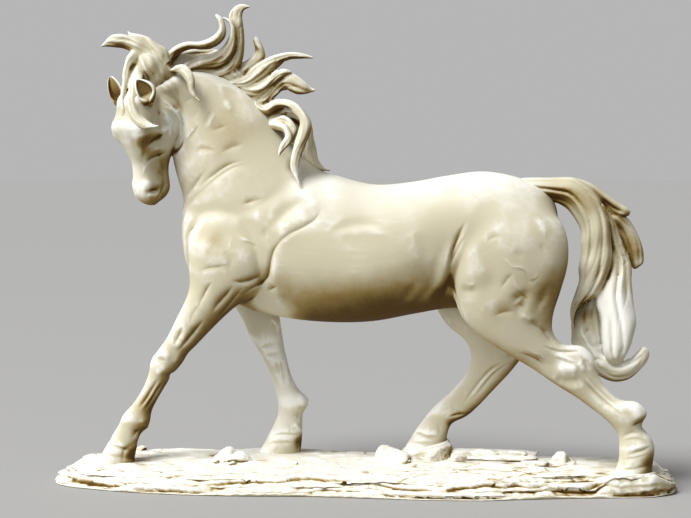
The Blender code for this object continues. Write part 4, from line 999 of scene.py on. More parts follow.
TAIL = {
    "main": [
        (96, 201, 102, 190, 0, 6), (103.5, 204.4, 106, 190.5, 0, 7.5),
        (110.5, 205, 110.5, 191, 0, 8), (116, 205, 116, 190.5, 0, 8),
        (126.5, 205, 125.5, 188.5, 0, 8), (138, 205, 132.5, 185.5, -1, 8),
        (149.5, 197.5, 138.5, 178.5, -2, 8), (158, 187.5, 142.5, 170.5, -3, 7.5),
        (162, 175.5, 143, 162.5, -4, 7.5), (163.5, 163, 143, 154, -4, 7),
        (164, 152.5, 141.5, 145.5, -5, 7), (162.5, 144, 142, 138, -5, 6.5),
        (158.5, 134.5, 139.5, 129.5, -5, 6), (153.5, 127.5, 137, 121.5, -5, 5),
        (144.5, 120.5, 136.5, 114.5, -5, 3.5), (140, 112.5, 137.5, 109.5, -5, 2),
        (139.5, 106, 139, 105.5, -5, 0.5),
    ],
    "upper": [
        (122, 205, 125.5, 197, 1, 6), (138, 205, 141, 196, 2, 6), (148, 202, 149.5, 191.5, 3, 5.5),
        (159.5, 194.5, 158.5, 183.5, 4, 5), (168, 188.5, 165, 179.5, 4, 4),
        (173.5, 185, 171, 179, 4, 3), (175.5, 183, 174.5, 180, 4, 1),
    ],
    "right": [
        (158.5, 187.5, 155, 178, 6, 5), (170, 181.5, 161.5, 174, 6, 5.5),
        (176, 175.5, 166, 168, 7, 5.5), (180.5, 167.5, 169, 161.5, 7, 5),
        (183.5, 159.5, 172.5, 154.5, 7, 5), (184.5, 153.5, 175, 149, 7, 4),
        (184, 148.5, 177, 145.5, 6, 2.5), (180, 145, 178.5, 144.5, 6, 1),
    ],
    "broad": [
        (152, 194, 147, 187, 2, 3), (161, 184, 152, 181, 3, 5), (167, 173, 155, 172, 3, 6.5),
        (171, 162.5, 156.5, 161.5, 2.5, 7), (175, 152.5, 159, 151, 1.5, 7.5),
        (176.5, 145, 157.5, 142.5, 0, 7.5), (176.5, 138.5, 155.5, 134.5, -1.5, 8),
        (177, 130, 153, 127, -3, 8), (178, 120.5, 153.5, 121, -4.5, 7.5),
        (179.5, 111.5, 156, 112.5, -6, 7), (178, 103, 157, 101, -7, 6.5),
        (175.5, 94, 158, 91, -7, 5.5), (173, 88.5, 161, 84.5, -6, 4.5),
        (170, 81.5, 164, 80, -1, 2.5),
    ],
    "inner": [
        (155, 134, 148, 132, 4, 3), (155, 124, 145.5, 124, 3, 4),
        (156.5, 114.5, 138, 112.5, 1.5, 4.5), (157, 103, 137.5, 102.5, 0, 5),
        (158, 92, 138.5, 94, -2, 5), (160.5, 84.5, 148, 89, -2, 4.5),
        (165, 79.5, 152.5, 81.5, -2, 4),
    ],
    "curl": [
        (145, 116, 142, 112, 3, 1), (146.5, 111, 140.5, 106.5, 0, 3),
        (148.5, 105, 140.5, 101, -2.5, 4.5), (152.5, 97, 143, 95, -3, 5),
        (156.5, 90.5, 147, 88.5, -3, 5.5), (162, 86, 149.5, 80.5, -3, 6),
        (167.5, 82.5, 156, 74.5, -3, 6), (171, 83.5, 165, 71, -3, 5.5),
        (174, 86.5, 174.5, 72.5, -3, 5), (178.5, 89, 182, 78.5, -3, 4),
        (182, 92.5, 187.5, 86, -3, 3), (184.5, 94.5, 188.5, 90, -3, 1.5),
        (186.5, 93.8, 187.8, 92.5, -3, 0.5),
    ],
    "shade": [
        (150, 152, 163, 144, 3, 3), (144, 138, 164, 130, 3, 3.5), (141.5, 123, 164, 116, 3, 3.5),
        (144, 106, 164, 103, 2, 3.5), (149, 95, 164, 92, 1, 3),
    ],
}

print(len(LOCKS), "locks in the mane and forelock,", len(TAIL), "in the tail")

# %% [markdown]
# ## A lock, carved
#
# A modeller would roll out a ribbon of clay for each lock and comb it with a wire tool.
# Here the comb is a formula: soft rolls side by side, with finer ones on top, and a slow drift
# that makes them wind about each other. Each lock draws its own drift from its own seed.

# %% Carve a lock
def lock_rings(rows, strands, count, across, seed, twist=0.5, fill=0.78):
    """Rings of a lock with strands along it.

    Across the lock w runs from 1, its first edge, to -1. Its half thickness is
    T * lens * (fill + (1 - fill) * strand). The lens is (1 - w^2)^0.5 and the strand is a half
    soft roll, |sin(pi f)|^0.8, with f = strands * (w + 1) / 2 + drift, and the drift is
    twist * sin(turns * t). Finer strands, three to one, ride on top, and all of them fade out
    at the tip.
    """
    dice = np.random.default_rng(seed)
    rows = smooth_rows([(*row, 0.5) for row in rows], count)
    t = np.linspace(0, 1, count)[:, None]
    w = np.linspace(1, -1, across)[None]
    w = np.sign(w) * (1 - (1 - np.abs(w)) ** 1.25)
    turns, phase = dice.uniform(2.2, 4.2), dice.uniform(0, 6.28)
    drift = twist * np.sin(turns * t + phase) + dice.uniform(0, 1)
    place = strands * (w + 1) / 2 + drift + 0.10 * np.sin(9 * t + 5 * w + phase)
    strand = np.abs(np.sin(math.pi * place)) ** 0.8
    fine = np.abs(np.sin(math.pi * (3 * place + 0.35 * np.sin(6 * t + phase))))
    fade = np.clip((1 - t) / 0.12, 0, 1)
    carved = fill + (1 - fill) * strand * (0.93 + 0.07 * fine)
    carved = 1 - fade * (1 - carved)
    lens = np.sqrt(np.maximum(1 - w**2, 0)) ** 0.9
    half = np.maximum(rows[:, 5:6], 0.8) * lens * carved
    front, back = rows[:, [0, 1]], rows[:, [2, 3]]
    flat = (front + back)[:, None] / 2 + (front - back)[:, None] / 2 * w[..., None]
    near = np.stack([flat[..., 0], rows[:, 4:5] - half, flat[..., 1]], -1)
    far = np.stack([flat[..., 0], rows[:, 4:5] + half, flat[..., 1]], -1)
    return np.concatenate([near, far[:, -2:0:-1]], axis=1)


# %% Melt the locks into mane and tail
HAIR_VOXEL = 0.5  # mm
STRAND_WIDTH = 6.5  # mm
TAIL_SEED = 40  # of the tail's first lock; the mane's is 0


def strands_of(rows):
    """One strand for each STRAND_WIDTH of the lock's width, and at least 1."""
    rows = np.array(rows, float)
    wide = np.linalg.norm(rows[:, :2] - rows[:, 2:4], axis=1)
    return max(1, round(np.percentile(wide, 70) / STRAND_WIDTH))


mane = new_piece("mane", *joined([
    closed_loft(lock_rings(rows, strands_of(rows), 70, 34, seed) * MM)
    for seed, rows in enumerate(LOCKS.values())
]))
tail = new_piece("tail", *joined([
    closed_loft(lock_rings(rows, strands_of(rows), 120, 56, TAIL_SEED + seed) * MM)
    for seed, rows in enumerate(TAIL.values())
]))
for piece in (mane, tail):
    one_skin(piece, HAIR_VOXEL, 7)

# %% [markdown]
# ## Valleys in the hair
#
# Each lock so far is a soft ribbon. The deep brown valleys, where one roll of hair tucks under
# the next, are cut with the same strokes as the flesh, narrower and deeper.

# %% Strokes of the mane and tail
MANE_STROKES = [
    (1.3, 1, [(-84, 309.5), (-83, 301.5), (-84, 291), (-86.5, 281.5), (-91.5, 274.5)]),
    (1.2, 1.4, [(-80, 280), (-83.5, 276), (-89, 273.5), (-93, 273)]),
    (1.2, 1.3, [(-76, 278.5), (-79.5, 273.5), (-86, 270.5), (-90.5, 269.5)]),
    (1.1, 0.9, [(-69.5, 281.5), (-74, 275), (-79, 271.5), (-83.5, 268)]),
    (1, 0.7, [(-72, 292.5), (-71, 287), (-72.5, 281.5)]),
    (2.2, 1.8, [(-41.5, 281), (-48.5, 281), (-56, 278.5), (-60.5, 275)]),
    (1.2, 1.5, [(-59, 276.5), (-62, 273.5), (-67, 269), (-75, 265), (-82, 264.5)]),
    (1, 0.8, [(-48.5, 284.5), (-57.5, 282), (-63, 278.5), (-67.5, 273.5), (-75, 269)]),
    (1.2, 1.6, [(-50.5, 273.5), (-57.5, 271.5), (-61.5, 267.5), (-65.5, 262.5), (-71, 260),
        (-77, 261)]),
    (1.2, 1.5, [(-51, 271.5), (-56, 268), (-60, 264), (-64, 259), (-69.5, 256.5), (-74.5, 257)]),
    (1.2, 1.5, [(-52, 268), (-56.5, 264), (-61.5, 258.5), (-66, 254), (-70.5, 252.5)]),
    (1.8, 1.4, [(-52, 266), (-54.5, 262.5), (-55, 259)]),
    (1.3, 0.9, [(-34, 261.5), (-40, 262.5), (-45.5, 264.5), (-50.5, 264.5), (-56, 260.5),
        (-60.5, 255.5)]),
    (2, 1.8, [(-68.5, 248.5), (-62, 248.5), (-56.5, 250.5), (-50.5, 250), (-45.5, 247),
        (-42.5, 242.5)]),
    (1.2, 1.5, [(-64, 243.5), (-60, 245), (-56, 247), (-51, 247)]),
    (1.3, 1.1, [(-63, 241), (-57.5, 243), (-52, 242), (-47, 238.5), (-45.5, 234)]),
    (1.3, 1.2, [(-59, 235.5), (-55, 234), (-52.5, 232)]),
    (1.6, 1.2, [(-36, 237), (-38.5, 230), (-42.5, 223), (-45, 213.5), (-44.5, 205.5)]),
    (1.2, -0.7, [(-41, 240), (-42.5, 230), (-46.5, 221.5), (-47.5, 212)]),
    (1.2, 0.8, [(-51, 230.5), (-53.5, 225), (-56, 220.5)]),
    (1.6, 0.9, [(-34, 230), (-33.5, 223), (-30.5, 214.5), (-27.5, 210.5)]),
    (1, 0.6, [(-87.5, 317.5), (-88, 312.5), (-87.5, 308)]),
    (1, 0.5, [(-81, 317.5), (-84, 313.5), (-84.5, 306.5)]),
    (1.9, 2, [(-126.5, 279.5), (-124.5, 282.5), (-120, 286), (-112, 287), (-103.5, 288),
        (-98.5, 290.5), (-94.5, 294), (-91.5, 299.5)]),
    (1, 1.1, [(-130, 277), (-128, 281), (-124.5, 285.5), (-119.5, 288)]),
    (2.4, 1.8, [(-121.5, 281), (-116, 284), (-108, 285)]),
    (1.6, 1.3, [(-112.5, 275.5), (-106.5, 275), (-99.5, 276), (-93, 279), (-89, 284), (-86, 290)]),
    (1, 0.9, [(-107, 280.5), (-100.5, 281.5), (-94.5, 286), (-90, 291.5), (-88.5, 298)]),
    (1, 0.8, [(-84, 280), (-87.5, 275.5), (-92, 273)]),
    (1.3, 0.9, [(-162.5, 293.5), (-157, 292), (-150.5, 288.5), (-145.5, 283.5), (-142.5, 279)]),
    (1.2, 0.9, [(-157, 299.5), (-150, 295.5), (-145, 291.5), (-141.5, 286), (-139, 281)]),
    (1, 0.5, [(-170, 294.5), (-164, 296.5), (-157, 295.5), (-150.5, 292.5)]),
    (1.6, 0.8, [(-134.5, 287.5), (-134, 282.5), (-134.5, 277.5)]),
    (1.5, 1, [(-153.5, 282), (-156.5, 277), (-158, 273.5)]),
    (1.4, 0.9, [(-125.5, 275), (-121.5, 273), (-119.5, 269), (-118.5, 264), (-116, 259.5)]),
    (1.3, 0.8, [(-152.5, 263.5), (-152.5, 254), (-150, 245.5), (-145, 240.5)]),
    (1.2, 0.8, [(-157, 265.5), (-157.5, 256), (-155, 245.5), (-150, 240.5)]),
]
TAIL_STROKES = [
    (2.2, 1.5, [(114.5, 194.5), (123, 194), (130.5, 193), (137, 188.5), (141.5, 181), (144.5, 173),
        (145.5, 162.5), (144.5, 153), (143, 145.5)]),
    (1.6, 1.2, [(126.5, 200), (136, 197.5), (143.5, 192), (148.5, 184), (151.5, 175.5), (152, 166),
        (150, 157), (147, 147.5), (143.5, 138.5)]),
    (1.2, 0.9, [(154, 177.5), (155.5, 168), (154.5, 157), (151.5, 147.5), (146.5, 138),
        (141, 128.5)]),
    (1.1, 0.8, [(159.5, 168), (159.5, 158.5), (158.5, 149.5), (154, 140), (146, 130)]),
    (1.4, 0.9, [(160.5, 180.5), (163, 170), (164.5, 159.5), (165, 152), (163.5, 144.5),
        (158.5, 135), (154.5, 130)]),
    (2.6, 2.4, [(138.5, 113), (141, 119), (147, 123), (155, 128)]),
    (1.8, 1.6, [(141, 115), (144, 118), (150.5, 122.5)]),
    (1.2, 1, [(143.5, 197.5), (152.5, 193), (159, 187), (166, 181), (172.5, 180.5)]),
    (2, 1.2, [(155.5, 191), (164, 185), (170.5, 183), (174, 182.5)]),
    (2.6, 1.3, [(165.5, 178.5), (171, 171), (175.5, 162.5), (178, 153), (179, 148.5)]),
    (1, 1, [(163, 179), (168, 169), (172.5, 160.5), (174.5, 152), (178.5, 146)]),
    (1.4, 1, [(169, 168), (167, 157), (169, 147.5), (168, 140), (164.5, 132.5)]),
    (1, 0.8, [(174.5, 147.5), (174, 133.5), (173, 124), (170, 116)]),
    (1.3, 0.8, [(160, 134), (161, 123), (162, 114.5)]),
    (1.8, 1.2, [(164, 113.5), (163, 103), (164.5, 91.5), (166.5, 81)]),
    (1.3, 0.7, [(168.5, 128.5), (168.5, 114.5), (167.5, 100), (169, 90.5)]),
    (1.3, 1.3, [(172, 94.5), (169.5, 87.5), (168.5, 81)]),
    (1.1, 1.4, [(154, 120.5), (156, 111.5), (157, 100), (158.5, 89.5)]),
    (1.6, 1.1, [(150.5, 110.5), (147.5, 103.5), (144.5, 100)]),
    (1.2, 1.1, [(146.5, 97.5), (153, 93), (160, 86)]),
    (1.6, 1.3, [(151.5, 83), (155, 85.5), (159.5, 83.5)]),
    (1.4, 1, [(175.5, 91.5), (176.5, 86), (173.5, 81), (169, 79)]),
    (1, 0.9, [(186.5, 89), (184.5, 87), (182, 81), (176.5, 77.5)]),
    (1.2, 0.8, [(156.5, 81), (162.5, 77), (170, 76.5)]),
    (1, 0.7, [(141.5, 106.5), (142.5, 99), (145.5, 94)]),
]

MIDDLE_OF_HAIR = -4 * MM  # the plane in which the far side mirrors the near one
for piece, table, wide, deep in ((mane, MANE_STROKES, 1.25, 0.65), (tail, TAIL_STROKES, 1.4, 0.6)):
    points, normals, tree = points_of(piece), points_of(piece, "normal"), tree_of(piece)
    for half_width, depth, drawn in table:
        line = sight_lines(tree, drawn)
        for path in (line, across_middle(tree, line, MIDDLE_OF_HAIR)):
            press(points, normals, path, wide * half_width, deep * depth)
    move_points(piece, points)
    print(len(table), "strokes on the", piece.name)

# %% [markdown]
# ## Loose crumbs
#
# The remesh leaves a few tiny shells beside the large one. Thinning would crush them into stray
# triangles that close nothing, so only the large shell is kept, and the hair is then thinned
# like the body.

# %% Take the crumbs off
def without_crumbs(piece):
    """Keeps the largest shell. The least point number of each shell runs along its edges until
    every point has it, and the points with another number are masked off."""
    one, two = edges_of(piece)
    shell, before = np.arange(len(piece.data.vertices)), None
    while before is None or (shell != before).any():
        before = shell.copy()
        np.minimum.at(shell, one, before[two])
        np.minimum.at(shell, two, before[one])
        shell = shell[shell]
    crumbs = np.flatnonzero(shell != np.bincount(shell).argmax())
    piece.vertex_groups.new(name="crumbs").add(crumbs.tolist(), 1.0, "REPLACE")
    mask = piece.modifiers.new("no crumbs", "MASK")
    mask.vertex_group, mask.invert_vertex_group = "crumbs", True
    settle(piece)
    piece.vertex_groups.clear()
    print(len(crumbs), "loose points taken off the", piece.name)


for piece in (mane, tail):
    without_crumbs(piece)
    fewer_triangles(piece)

# %% [markdown]
# ## Ears
#
# An ear is a leaf rolled into a cup, open in front, with a thick rim. Its skin runs up the
# outside of the cup, over the rim and down the inside, so one closed surface gives both. How
# deep in the cup each point lies is kept too, because that is where dark stain and painted
# shade gather.

# %% Roll the ears
EARS = [  # base, tip, way the cup faces, half width, closing in degrees, depth, sideways bow
    ((-1.6, -15.6, -9.5), (-5.0, -10.8, 7.2), (-0.77, -0.64, 0), 6.6, 112, 0.62, 2.2),
    ((-7, 9.5, -10.5), (-10.5, 12.5, 10.5), (-0.9, -0.45, 0), 5.6, 105, 0.28, 0.8),
]
ROUND, HIGH = 48, 60  # points round the outside, rings up the ear
RIM = 1.5  # mm


def ear_rings(base, tip, facing, half_width, closed, deep, bow):
    """A cup from base to tip: at height t the outside is an arc of radius
    W(t) = half width * (sin(pi (0.08 + 0.9 t))^0.6 + 0.02) over the back, and the inside
    is the same arc, a rim's thickness smaller, run back the other way. The middle line bows
    sideways by bow * sin(pi t), so that one edge is straighter than the other."""
    base, tip, facing = (np.array(v, float) for v in (base, tip, facing))
    t = np.linspace(0, 1, HIGH)[:, None]
    wide = half_width * (np.sin(math.pi * (0.08 + 0.9 * t)) ** 0.6 + 0.02)
    up = (tip - base) / np.linalg.norm(tip - base)
    across = np.cross(facing, up)
    across /= np.linalg.norm(across)
    facing = np.cross(up, across)
    round_it = np.radians(np.linspace(-closed, closed, ROUND))[None]
    rim = RIM * np.clip(wide / 3, 0.2, 1)
    outside = np.stack([wide * np.sin(round_it), -deep * wide * np.cos(round_it)], -1)
    inner = np.maximum((wide - rim) * step_up(t, 0.04, 0.4), 0.1)
    back = round_it[:, ::-1]
    inside = np.stack([inner * np.sin(back), 0.5 - deep * inner * np.cos(back)], -1)
    section = np.concatenate([outside, inside], axis=1)
    path = base + (tip - base) * t + np.sin(math.pi * t) * (1.2 * facing - bow * across)
    return path[:, None] + section[..., :1] * across + section[..., 1:] * facing


ears = new_piece("ears", *joined([closed_loft(on_head(ear_rings(*row)) * MM) for row in EARS]))
print("ears:", len(ears.data.polygons), "triangles")

# %% How deep in the cup
deep_in = np.zeros((HIGH, 2 * ROUND))  # 0 on the outside and the rim, up to 1 deep in the cup
away = np.abs(np.linspace(-1, 1, ROUND))
high = np.linspace(0, 1, HIGH)[:, None]
deep_in[:, ROUND:] = np.maximum((1 - away**4) * np.clip(1.15 - 0.75 * high, 0, 1), 1 - high / 0.35)
deep_in[:, :ROUND] = np.clip(1 - high / 0.3, 0, 1) * (away > 0.8)
cup = np.concatenate([np.append(deep_in, (0, 0)) * strength for strength in (0.6, 0.7)])
print("deep in the cup:", int((cup > 0.3).sum()), "of", len(cup), "points")

# %% [markdown]
# ## The rock
#
# The base is a slab of layered rock: a rough top, and edges that break away in steps, each layer
# with a lip that shades the one below. A noise texture on a flat block would not cast those
# shadows, so the layers are real steps in one surface that runs from the middle of the top, out
# over each lip, down to the underside. On the side that is seen the ledges are drawn as broken
# lines with a height each, and the regular layers give way to them.

# %% The base's outline and its layers
BASE_OUTLINE = [  # shares of half length and half width, from the left end round the near side
    (-0.995, -0.16), (-1.0, -0.4), (-0.95, -0.64), (-0.81, -0.83), (-0.67, -0.94), (-0.5, -1.0),
    (-0.33, -0.98), (-0.16, -0.93), (0.04, -0.96), (0.25, -0.99), (0.4, -0.95), (0.52, -0.84),
    (0.66, -0.72), (0.8, -0.64), (0.9, -0.58), (0.97, -0.42), (1.0, -0.12), (0.99, 0.2),
    (0.95, 0.42), (0.86, 0.56), (0.72, 0.68), (0.58, 0.8), (0.42, 0.9), (0.2, 0.98),
    (0.0, 1.0), (-0.24, 0.97), (-0.4, 0.94), (-0.56, 0.86), (-0.76, 0.76), (-0.9, 0.56),
    (-0.965, 0.26), (-0.99, 0.04),
]
STRATA = [  # from the top's edge down: shares of half width and half length, height in mm
    (0.74, 0.955, 11.6), (0.765, 0.967, 11.2), (0.775, 0.972, 10.2), (0.755, 0.966, 9.4),
    (0.80, 0.972, 9.0), (0.855, 0.982, 8.3), (0.865, 0.985, 7.2), (0.845, 0.979, 6.5),
    (0.89, 0.986, 6.1), (0.93, 0.991, 5.4), (0.94, 0.993, 4.4), (0.92, 0.988, 3.7),
    (0.955, 0.992, 3.3), (0.985, 0.998, 2.5), (0.995, 1.0, 1.3), (0.985, 0.997, 0.0),
]
LEDGES = [  # how far the lip stands over the step below, and its line as the camera sees it
    (3.2, [(-207, 1.5), (-194, -2.5), (-180, -4.5), (-164, -6)]),
    (2.8, [(-161, -7), (-147, -8), (-135, -8.5), (-121, -8.5), (-106, -9)]),
    (1.3, [(-171, 4), (-160, 4.5), (-148, 4.5)]),
    (1.8, [(-205, 7.5), (-199, 5.5), (-191, 4.5), (-185, 4), (-174, 5.5)]),
    (1.7, [(-138, 0), (-126, 2), (-112, 2.5), (-97, 3.5), (-86, 4), (-71, 3.5)]),
    (2.8, [(-110, -3.5), (-100, -3.5), (-89, -1.5), (-71, -1), (-54, -0.5), (-46, 1.5), (-35, 2.5),
        (-25, 1), (-15, 1), (-6, 0.8)]),
    (1.6, [(-43, -8.5), (-34, -6.5), (-20, -6), (3, -6)]),
    (1, [(-80, -8.5), (-61, -8)]),
    (2.2, [(5, 0), (13, -1.5), (27, -4), (49, -5)]),
    (3.0, [(51, -4.5), (65, -2.5), (78, -1), (84, 0), (91, -1), (103, 0.5), (110, -1), (117, 0),
        (124, 0)]),
    (3.4, [(122, -1), (130, -2), (147, -2), (156, 2), (170, 1), (186, 1), (199, 3)]),
    (2.4, [(10, -7.5), (35, -8.5), (61, -8.5), (78, -9), (97, -8.5)]),
    (3.5, [(169, 6), (179, 8), (193, 10), (204, 13)]),
    (1, [(111, 7.5), (130, 6.5), (150, 8)]),
]
HOOVES = [  # middle (x, y) of each seat, ground height, rise along x, half length, half width
    (-167, -15, 14.0, 0.0, 17, 15),
    (-59, 15, 17.0, 0.0, 22, 17),
    (179, -19, 14.6, 0.02, 20, 17),
]
low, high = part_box("rock_base")
HALF_LENGTH = (high[0] - low[0]) / 2 / MM - 0.1
HALF_WIDTH = (high[1] - low[1]) / 2 / MM - 0.1
print("slab:", round(2 * HALF_LENGTH, 1), "by", round(2 * HALF_WIDTH, 1), "mm")

# %% [markdown]
# ## The top and the hooves' seats
#
# The top is a low hill with ripples, small steps in the bedding and grit. A hoof can't stand on
# grit, so at each of the three seats the rock is level or nearly so, as if cut for the hoof.

# %% Height of the top
def top_height(x, y):
    """The top: highest a little behind the middle, falling to both sides, with long ripples,
    and level at each hoof's seat, where it blends over 0.6 of the seat's size."""
    z = 14 * (1.21 - 0.457 * (np.abs(y / 56 - 0.143) / 0.893) ** 1.2)
    z -= 3.5 * step_up(-x, 125, 203)
    z += 0.5 * np.sin(x / 13 + y / 9) * np.sin(x / 29 - y / 7)
    rough = np.stack([x * 0.35, y, 0 * x], -1)
    grain = waves(rough, 7, 3) * 0.5 + np.abs(waves(rough, 13, 4)) * 0.9
    grain += waves(rough, 2.6, 5) * 0.22
    bedding = waves(rough, 24, 6) * 2.2
    step = 0.9 * (np.round(bedding) - bedding)
    z += grain * 0.8 - 0.6 + step * 0.5
    return seated(x, y, z)[0]


def seated(x, y, z):
    """The height with the hooves' seats worked in, and how much each place is seat, 0 to 1."""
    most = 0 * z
    for hx, hy, ground, rise, seat_length, seat_width in HOOVES:
        seat = ground + rise * (x - hx) - 0.05
        out = np.maximum(np.abs(x - hx) / seat_length, np.abs(y - hy) / seat_width)
        share = (1 - np.clip((out - 0.62) / 0.7, 0, 1)) * np.clip((z - 1.5) / 4, 0, 1)
        z, most = seat * share + z * (1 - share), np.maximum(most, share)
    return z, most


print("height in the middle:", np.round(top_height(np.zeros(1), np.zeros(1)), 1), "mm")

# %% Rings round the slab
AROUND, TOP_RINGS, SIDE_RINGS = 720, 46, 52
WEIGH = (60, 200, 1)  # makes the shares of STRATA as long as they are in millimetres
PLAIN = [  # the sides where the drawn ledges take over, as STRATA
    (0.74, 0.955, 11.6), (0.82, 0.97, 8.8), (0.91, 0.985, 6.0), (0.965, 0.995, 3.0),
    (0.995, 1.0, 0.9), (0.985, 0.997, 0.0),
]
loop = np.array(BASE_OUTLINE + BASE_OUTLINE[:1])
ring = smooth_rows(np.column_stack([loop, np.zeros((len(loop), 2))]), AROUND + 1)[:-1, :2]
ring /= np.abs(ring).max(0)
layers = np.column_stack([np.array(STRATA) * WEIGH, np.zeros(len(STRATA))])
layers = smooth_rows(layers, SIDE_RINGS)[:, :3] / WEIGH
down, rows = np.linspace(0, 1, SIDE_RINGS), np.linspace(0, 1, len(PLAIN))
plain = np.stack([np.interp(down, rows, column) for column in zip(*PLAIN)], -1)
near_side = 0.75 * step_up(-ring[:, 1], 0.1, 0.6)[None, :, None]
layers = layers[:, None] * (1 - near_side) + plain[:, None] * near_side
print(AROUND, "points round the slab in", TOP_RINGS + SIDE_RINGS, "rings")

# %% The top
share = np.linspace(0.02, 1, TOP_RINGS, endpoint=False)[:, None]
top_x = HALF_LENGTH * ring[None, :, 0] * share * (0.85 + 0.115 * share)
top_y = HALF_WIDTH * ring[None, :, 1] * share * 0.74
top = np.stack([top_x, top_y, top_height(top_x, top_y)], -1)
print("top between", np.round(top[..., 2].min(), 1), "and", np.round(top[..., 2].max(), 1), "mm")

# %% [markdown]
# ## The layered side
#
# Each of four layers wanders in and out by noise of its own. The noise is read 37 mm apart in z
# from layer to layer, so that no two are alike, and in whole steps too, which gives corners.

# %% The side
LAYERS, APART = 4.0, 37.0
level = np.arange(SIDE_RINGS)[:, None] / (SIDE_RINGS - 1) * LAYERS  # 0 to 4 downwards
whole = np.clip(np.floor(level), 0, LAYERS - 1)
edge_x, edge_y = (ring * (HALF_LENGTH, HALF_WIDTH)).T[:, None]
spot = np.stack(np.broadcast_arrays(edge_x, edge_y, APART * whole), -1)
wander = waves(spot * (0.5, 1, 1), 42, 11) * 0.06 + waves(spot * (0.6, 1, 1), 15, 12) * 0.035
wander += np.round(waves(spot, 26, 13) * 2) / 2 * 0.03 + waves(spot, 5, 14) * 0.012
wander *= np.clip((LAYERS - level) / 1.6, 0.12, 1)
wander *= 1 - 0.6 * near_side[..., 0]
side_x = HALF_LENGTH * ring[None, :, 0] * np.minimum(layers[..., 1] + 0.35 * wander, 1)
side_y = HALF_WIDTH * ring[None, :, 1] * np.minimum(layers[..., 0] + wander, 1)
side_z = layers[..., 2] * (1 - 0.2 * step_up(-edge_x, 140, 203))
side_z += 0.6 * waves(spot, 60, 15) * np.clip(layers[..., 2] / 4, 0, 1)
side = np.stack([side_x, side_y, side_z], -1)
grit = waves(side, 6, 16) * 0.25 + waves(side, 2.4, 17) * 0.14
side[..., 1] += grit * np.sign(side[..., 1]) * -0.5 - 0.2 * np.sign(side[..., 1])
side[..., 2] = np.clip(side[..., 2] + grit * np.clip(side[..., 2] / 2, 0, 1), 0, None)
side[-1, :, 2] = 0
side[..., 2] = seated(side[..., 0], side[..., 1], side[..., 2])[0]
rings = np.concatenate([top, side])
slab_points, slab_faces = closed_loft(rings * MM)
slab_tree = BVHTree.FromPolygons(slab_points.tolist(), slab_faces.tolist())
held = 1 - 0.8 * seated(rings[..., 0], rings[..., 1], rings[..., 2])[1]  # ledges spare the seats
print("slab:", len(slab_faces), "triangles")

# %% [markdown]
# ## Ledges
#
# A ledge is a broken lip with a dark shelf under it. Sight lines carry its drawn line onto the
# slab, and the surface is pushed out above the line and drawn in below it.

# %% Break the ledges
def break_ledge(sheet, lip, drawn, seed):
    """Raises the sheet above the line and sinks it below, so that the line becomes a broken lip.

    s is the height over the line, measured up the slope. The rise is (lip / 2)(1 - s / reach)
    above the line and the same fall below it, and reach is 1.7 lip + 1.5 mm. It works outwards
    and up, (0, -0.6, 0.8), and fades over the last 7 mm of the line and near the ground.
    """
    hits = sight_lines(slab_tree, drawn) / MM
    hits = hits[np.argsort(hits[:, 0])]
    for _ in range(4):
        hits[1:-1] = (hits[:-2] + 2 * hits[1:-1] + hits[2:]) / 4
    x = sheet[..., 0]
    over = (sheet[..., 1] - np.interp(x, hits[:, 0], hits[:, 1])) * 0.8
    over += (sheet[..., 2] - np.interp(x, hits[:, 0], hits[:, 2])) * 0.6
    over += 0.7 * waves(sheet, 17, seed) + 0.2 * waves(sheet, 8, seed + 1)
    reach = 1.7 * lip + 1.5
    rise = np.where(over > 0, 1 - over / reach, -1 - over / reach) * (np.abs(over) < reach)
    ends = np.clip(np.minimum(x - hits[0, 0], hits[-1, 0] - x) / 7, 0, 1)
    rise = rise * ends * ends * (3 - 2 * ends) * lip / 2 * np.clip(sheet[..., 2] / 2.5, 0, 1) * held
    sheet[..., 1] -= 0.6 * rise
    sheet[..., 2] += 0.8 * rise


for at, (lip, drawn) in enumerate(LEDGES):
    break_ledge(rings, lip, drawn, 200 + 2 * at)
rings[..., 1] = np.maximum(rings[..., 1], -HALF_WIDTH)
rings[..., 2] = np.maximum(rings[..., 2], 0)
slab = closed_loft(rings * MM)
print(len(LEDGES), "ledges broken")

# %% [markdown]
# ## Stones
#
# Stones lie on the slab. Three hooves stand on the slab itself, and the far hind one on a wedge
# of rock. A stone that has been knocked off a larger one has flat faces, so each is what is
# left of a box after some planes have cut it.

# %% Stones on the slab
STONES = [  # middle (x, y), half sizes, turn in degrees, height of the middle, flat faces, seed
    (-91, -9, 9, 7.5, 7.2, 6, 16.4, 18, 21), (-84.5, -10, 12, 7, 6, 8, 16.0, 18, 22),
    (-98, -15, 2.6, 2.2, 1.8, 0, 14.6, 14, 3), (-86, -18, 3, 2.2, 2, 20, 14.0, 14, 4),
    (-46, -15, 2.6, 2, 1.8, 0, 14.0, 12, 5), (18, 0, 12, 9, 9.6, -8, 16.6, 14, 6),
    (28, -8, 3.4, 2.6, 2.2, 0, 14.5, 12, 7), (61, 6, 4, 5, 3.4, 10, 15.5, 13, 8),
    (86, 9, 26, 8, 2.6, -2, 18.7, 8, 9), (92, 10, 20, 6, 6, 3, 14.5, 6, 10),
    (84, 9, 9, 6, 3.2, 8, 18.8, 12, 11), (104, 9, 8, 6, 2.8, 0, 18.6, 12, 12),
    (66, 4, 7, 5, 3.5, 15, 15.8, 10, 13), (128, 1, 19, 8, 2.4, 4, 14.6, 6, 14),
    (131, 3, 8.5, 7, 8.5, 20, 13.5, 13, 15), (114, -3, 8, 5, 2, -6, 15.2, 6, 16),
    (-157, 24, 4, 3, 2.4, 0, 15.0, 12, 17),
]


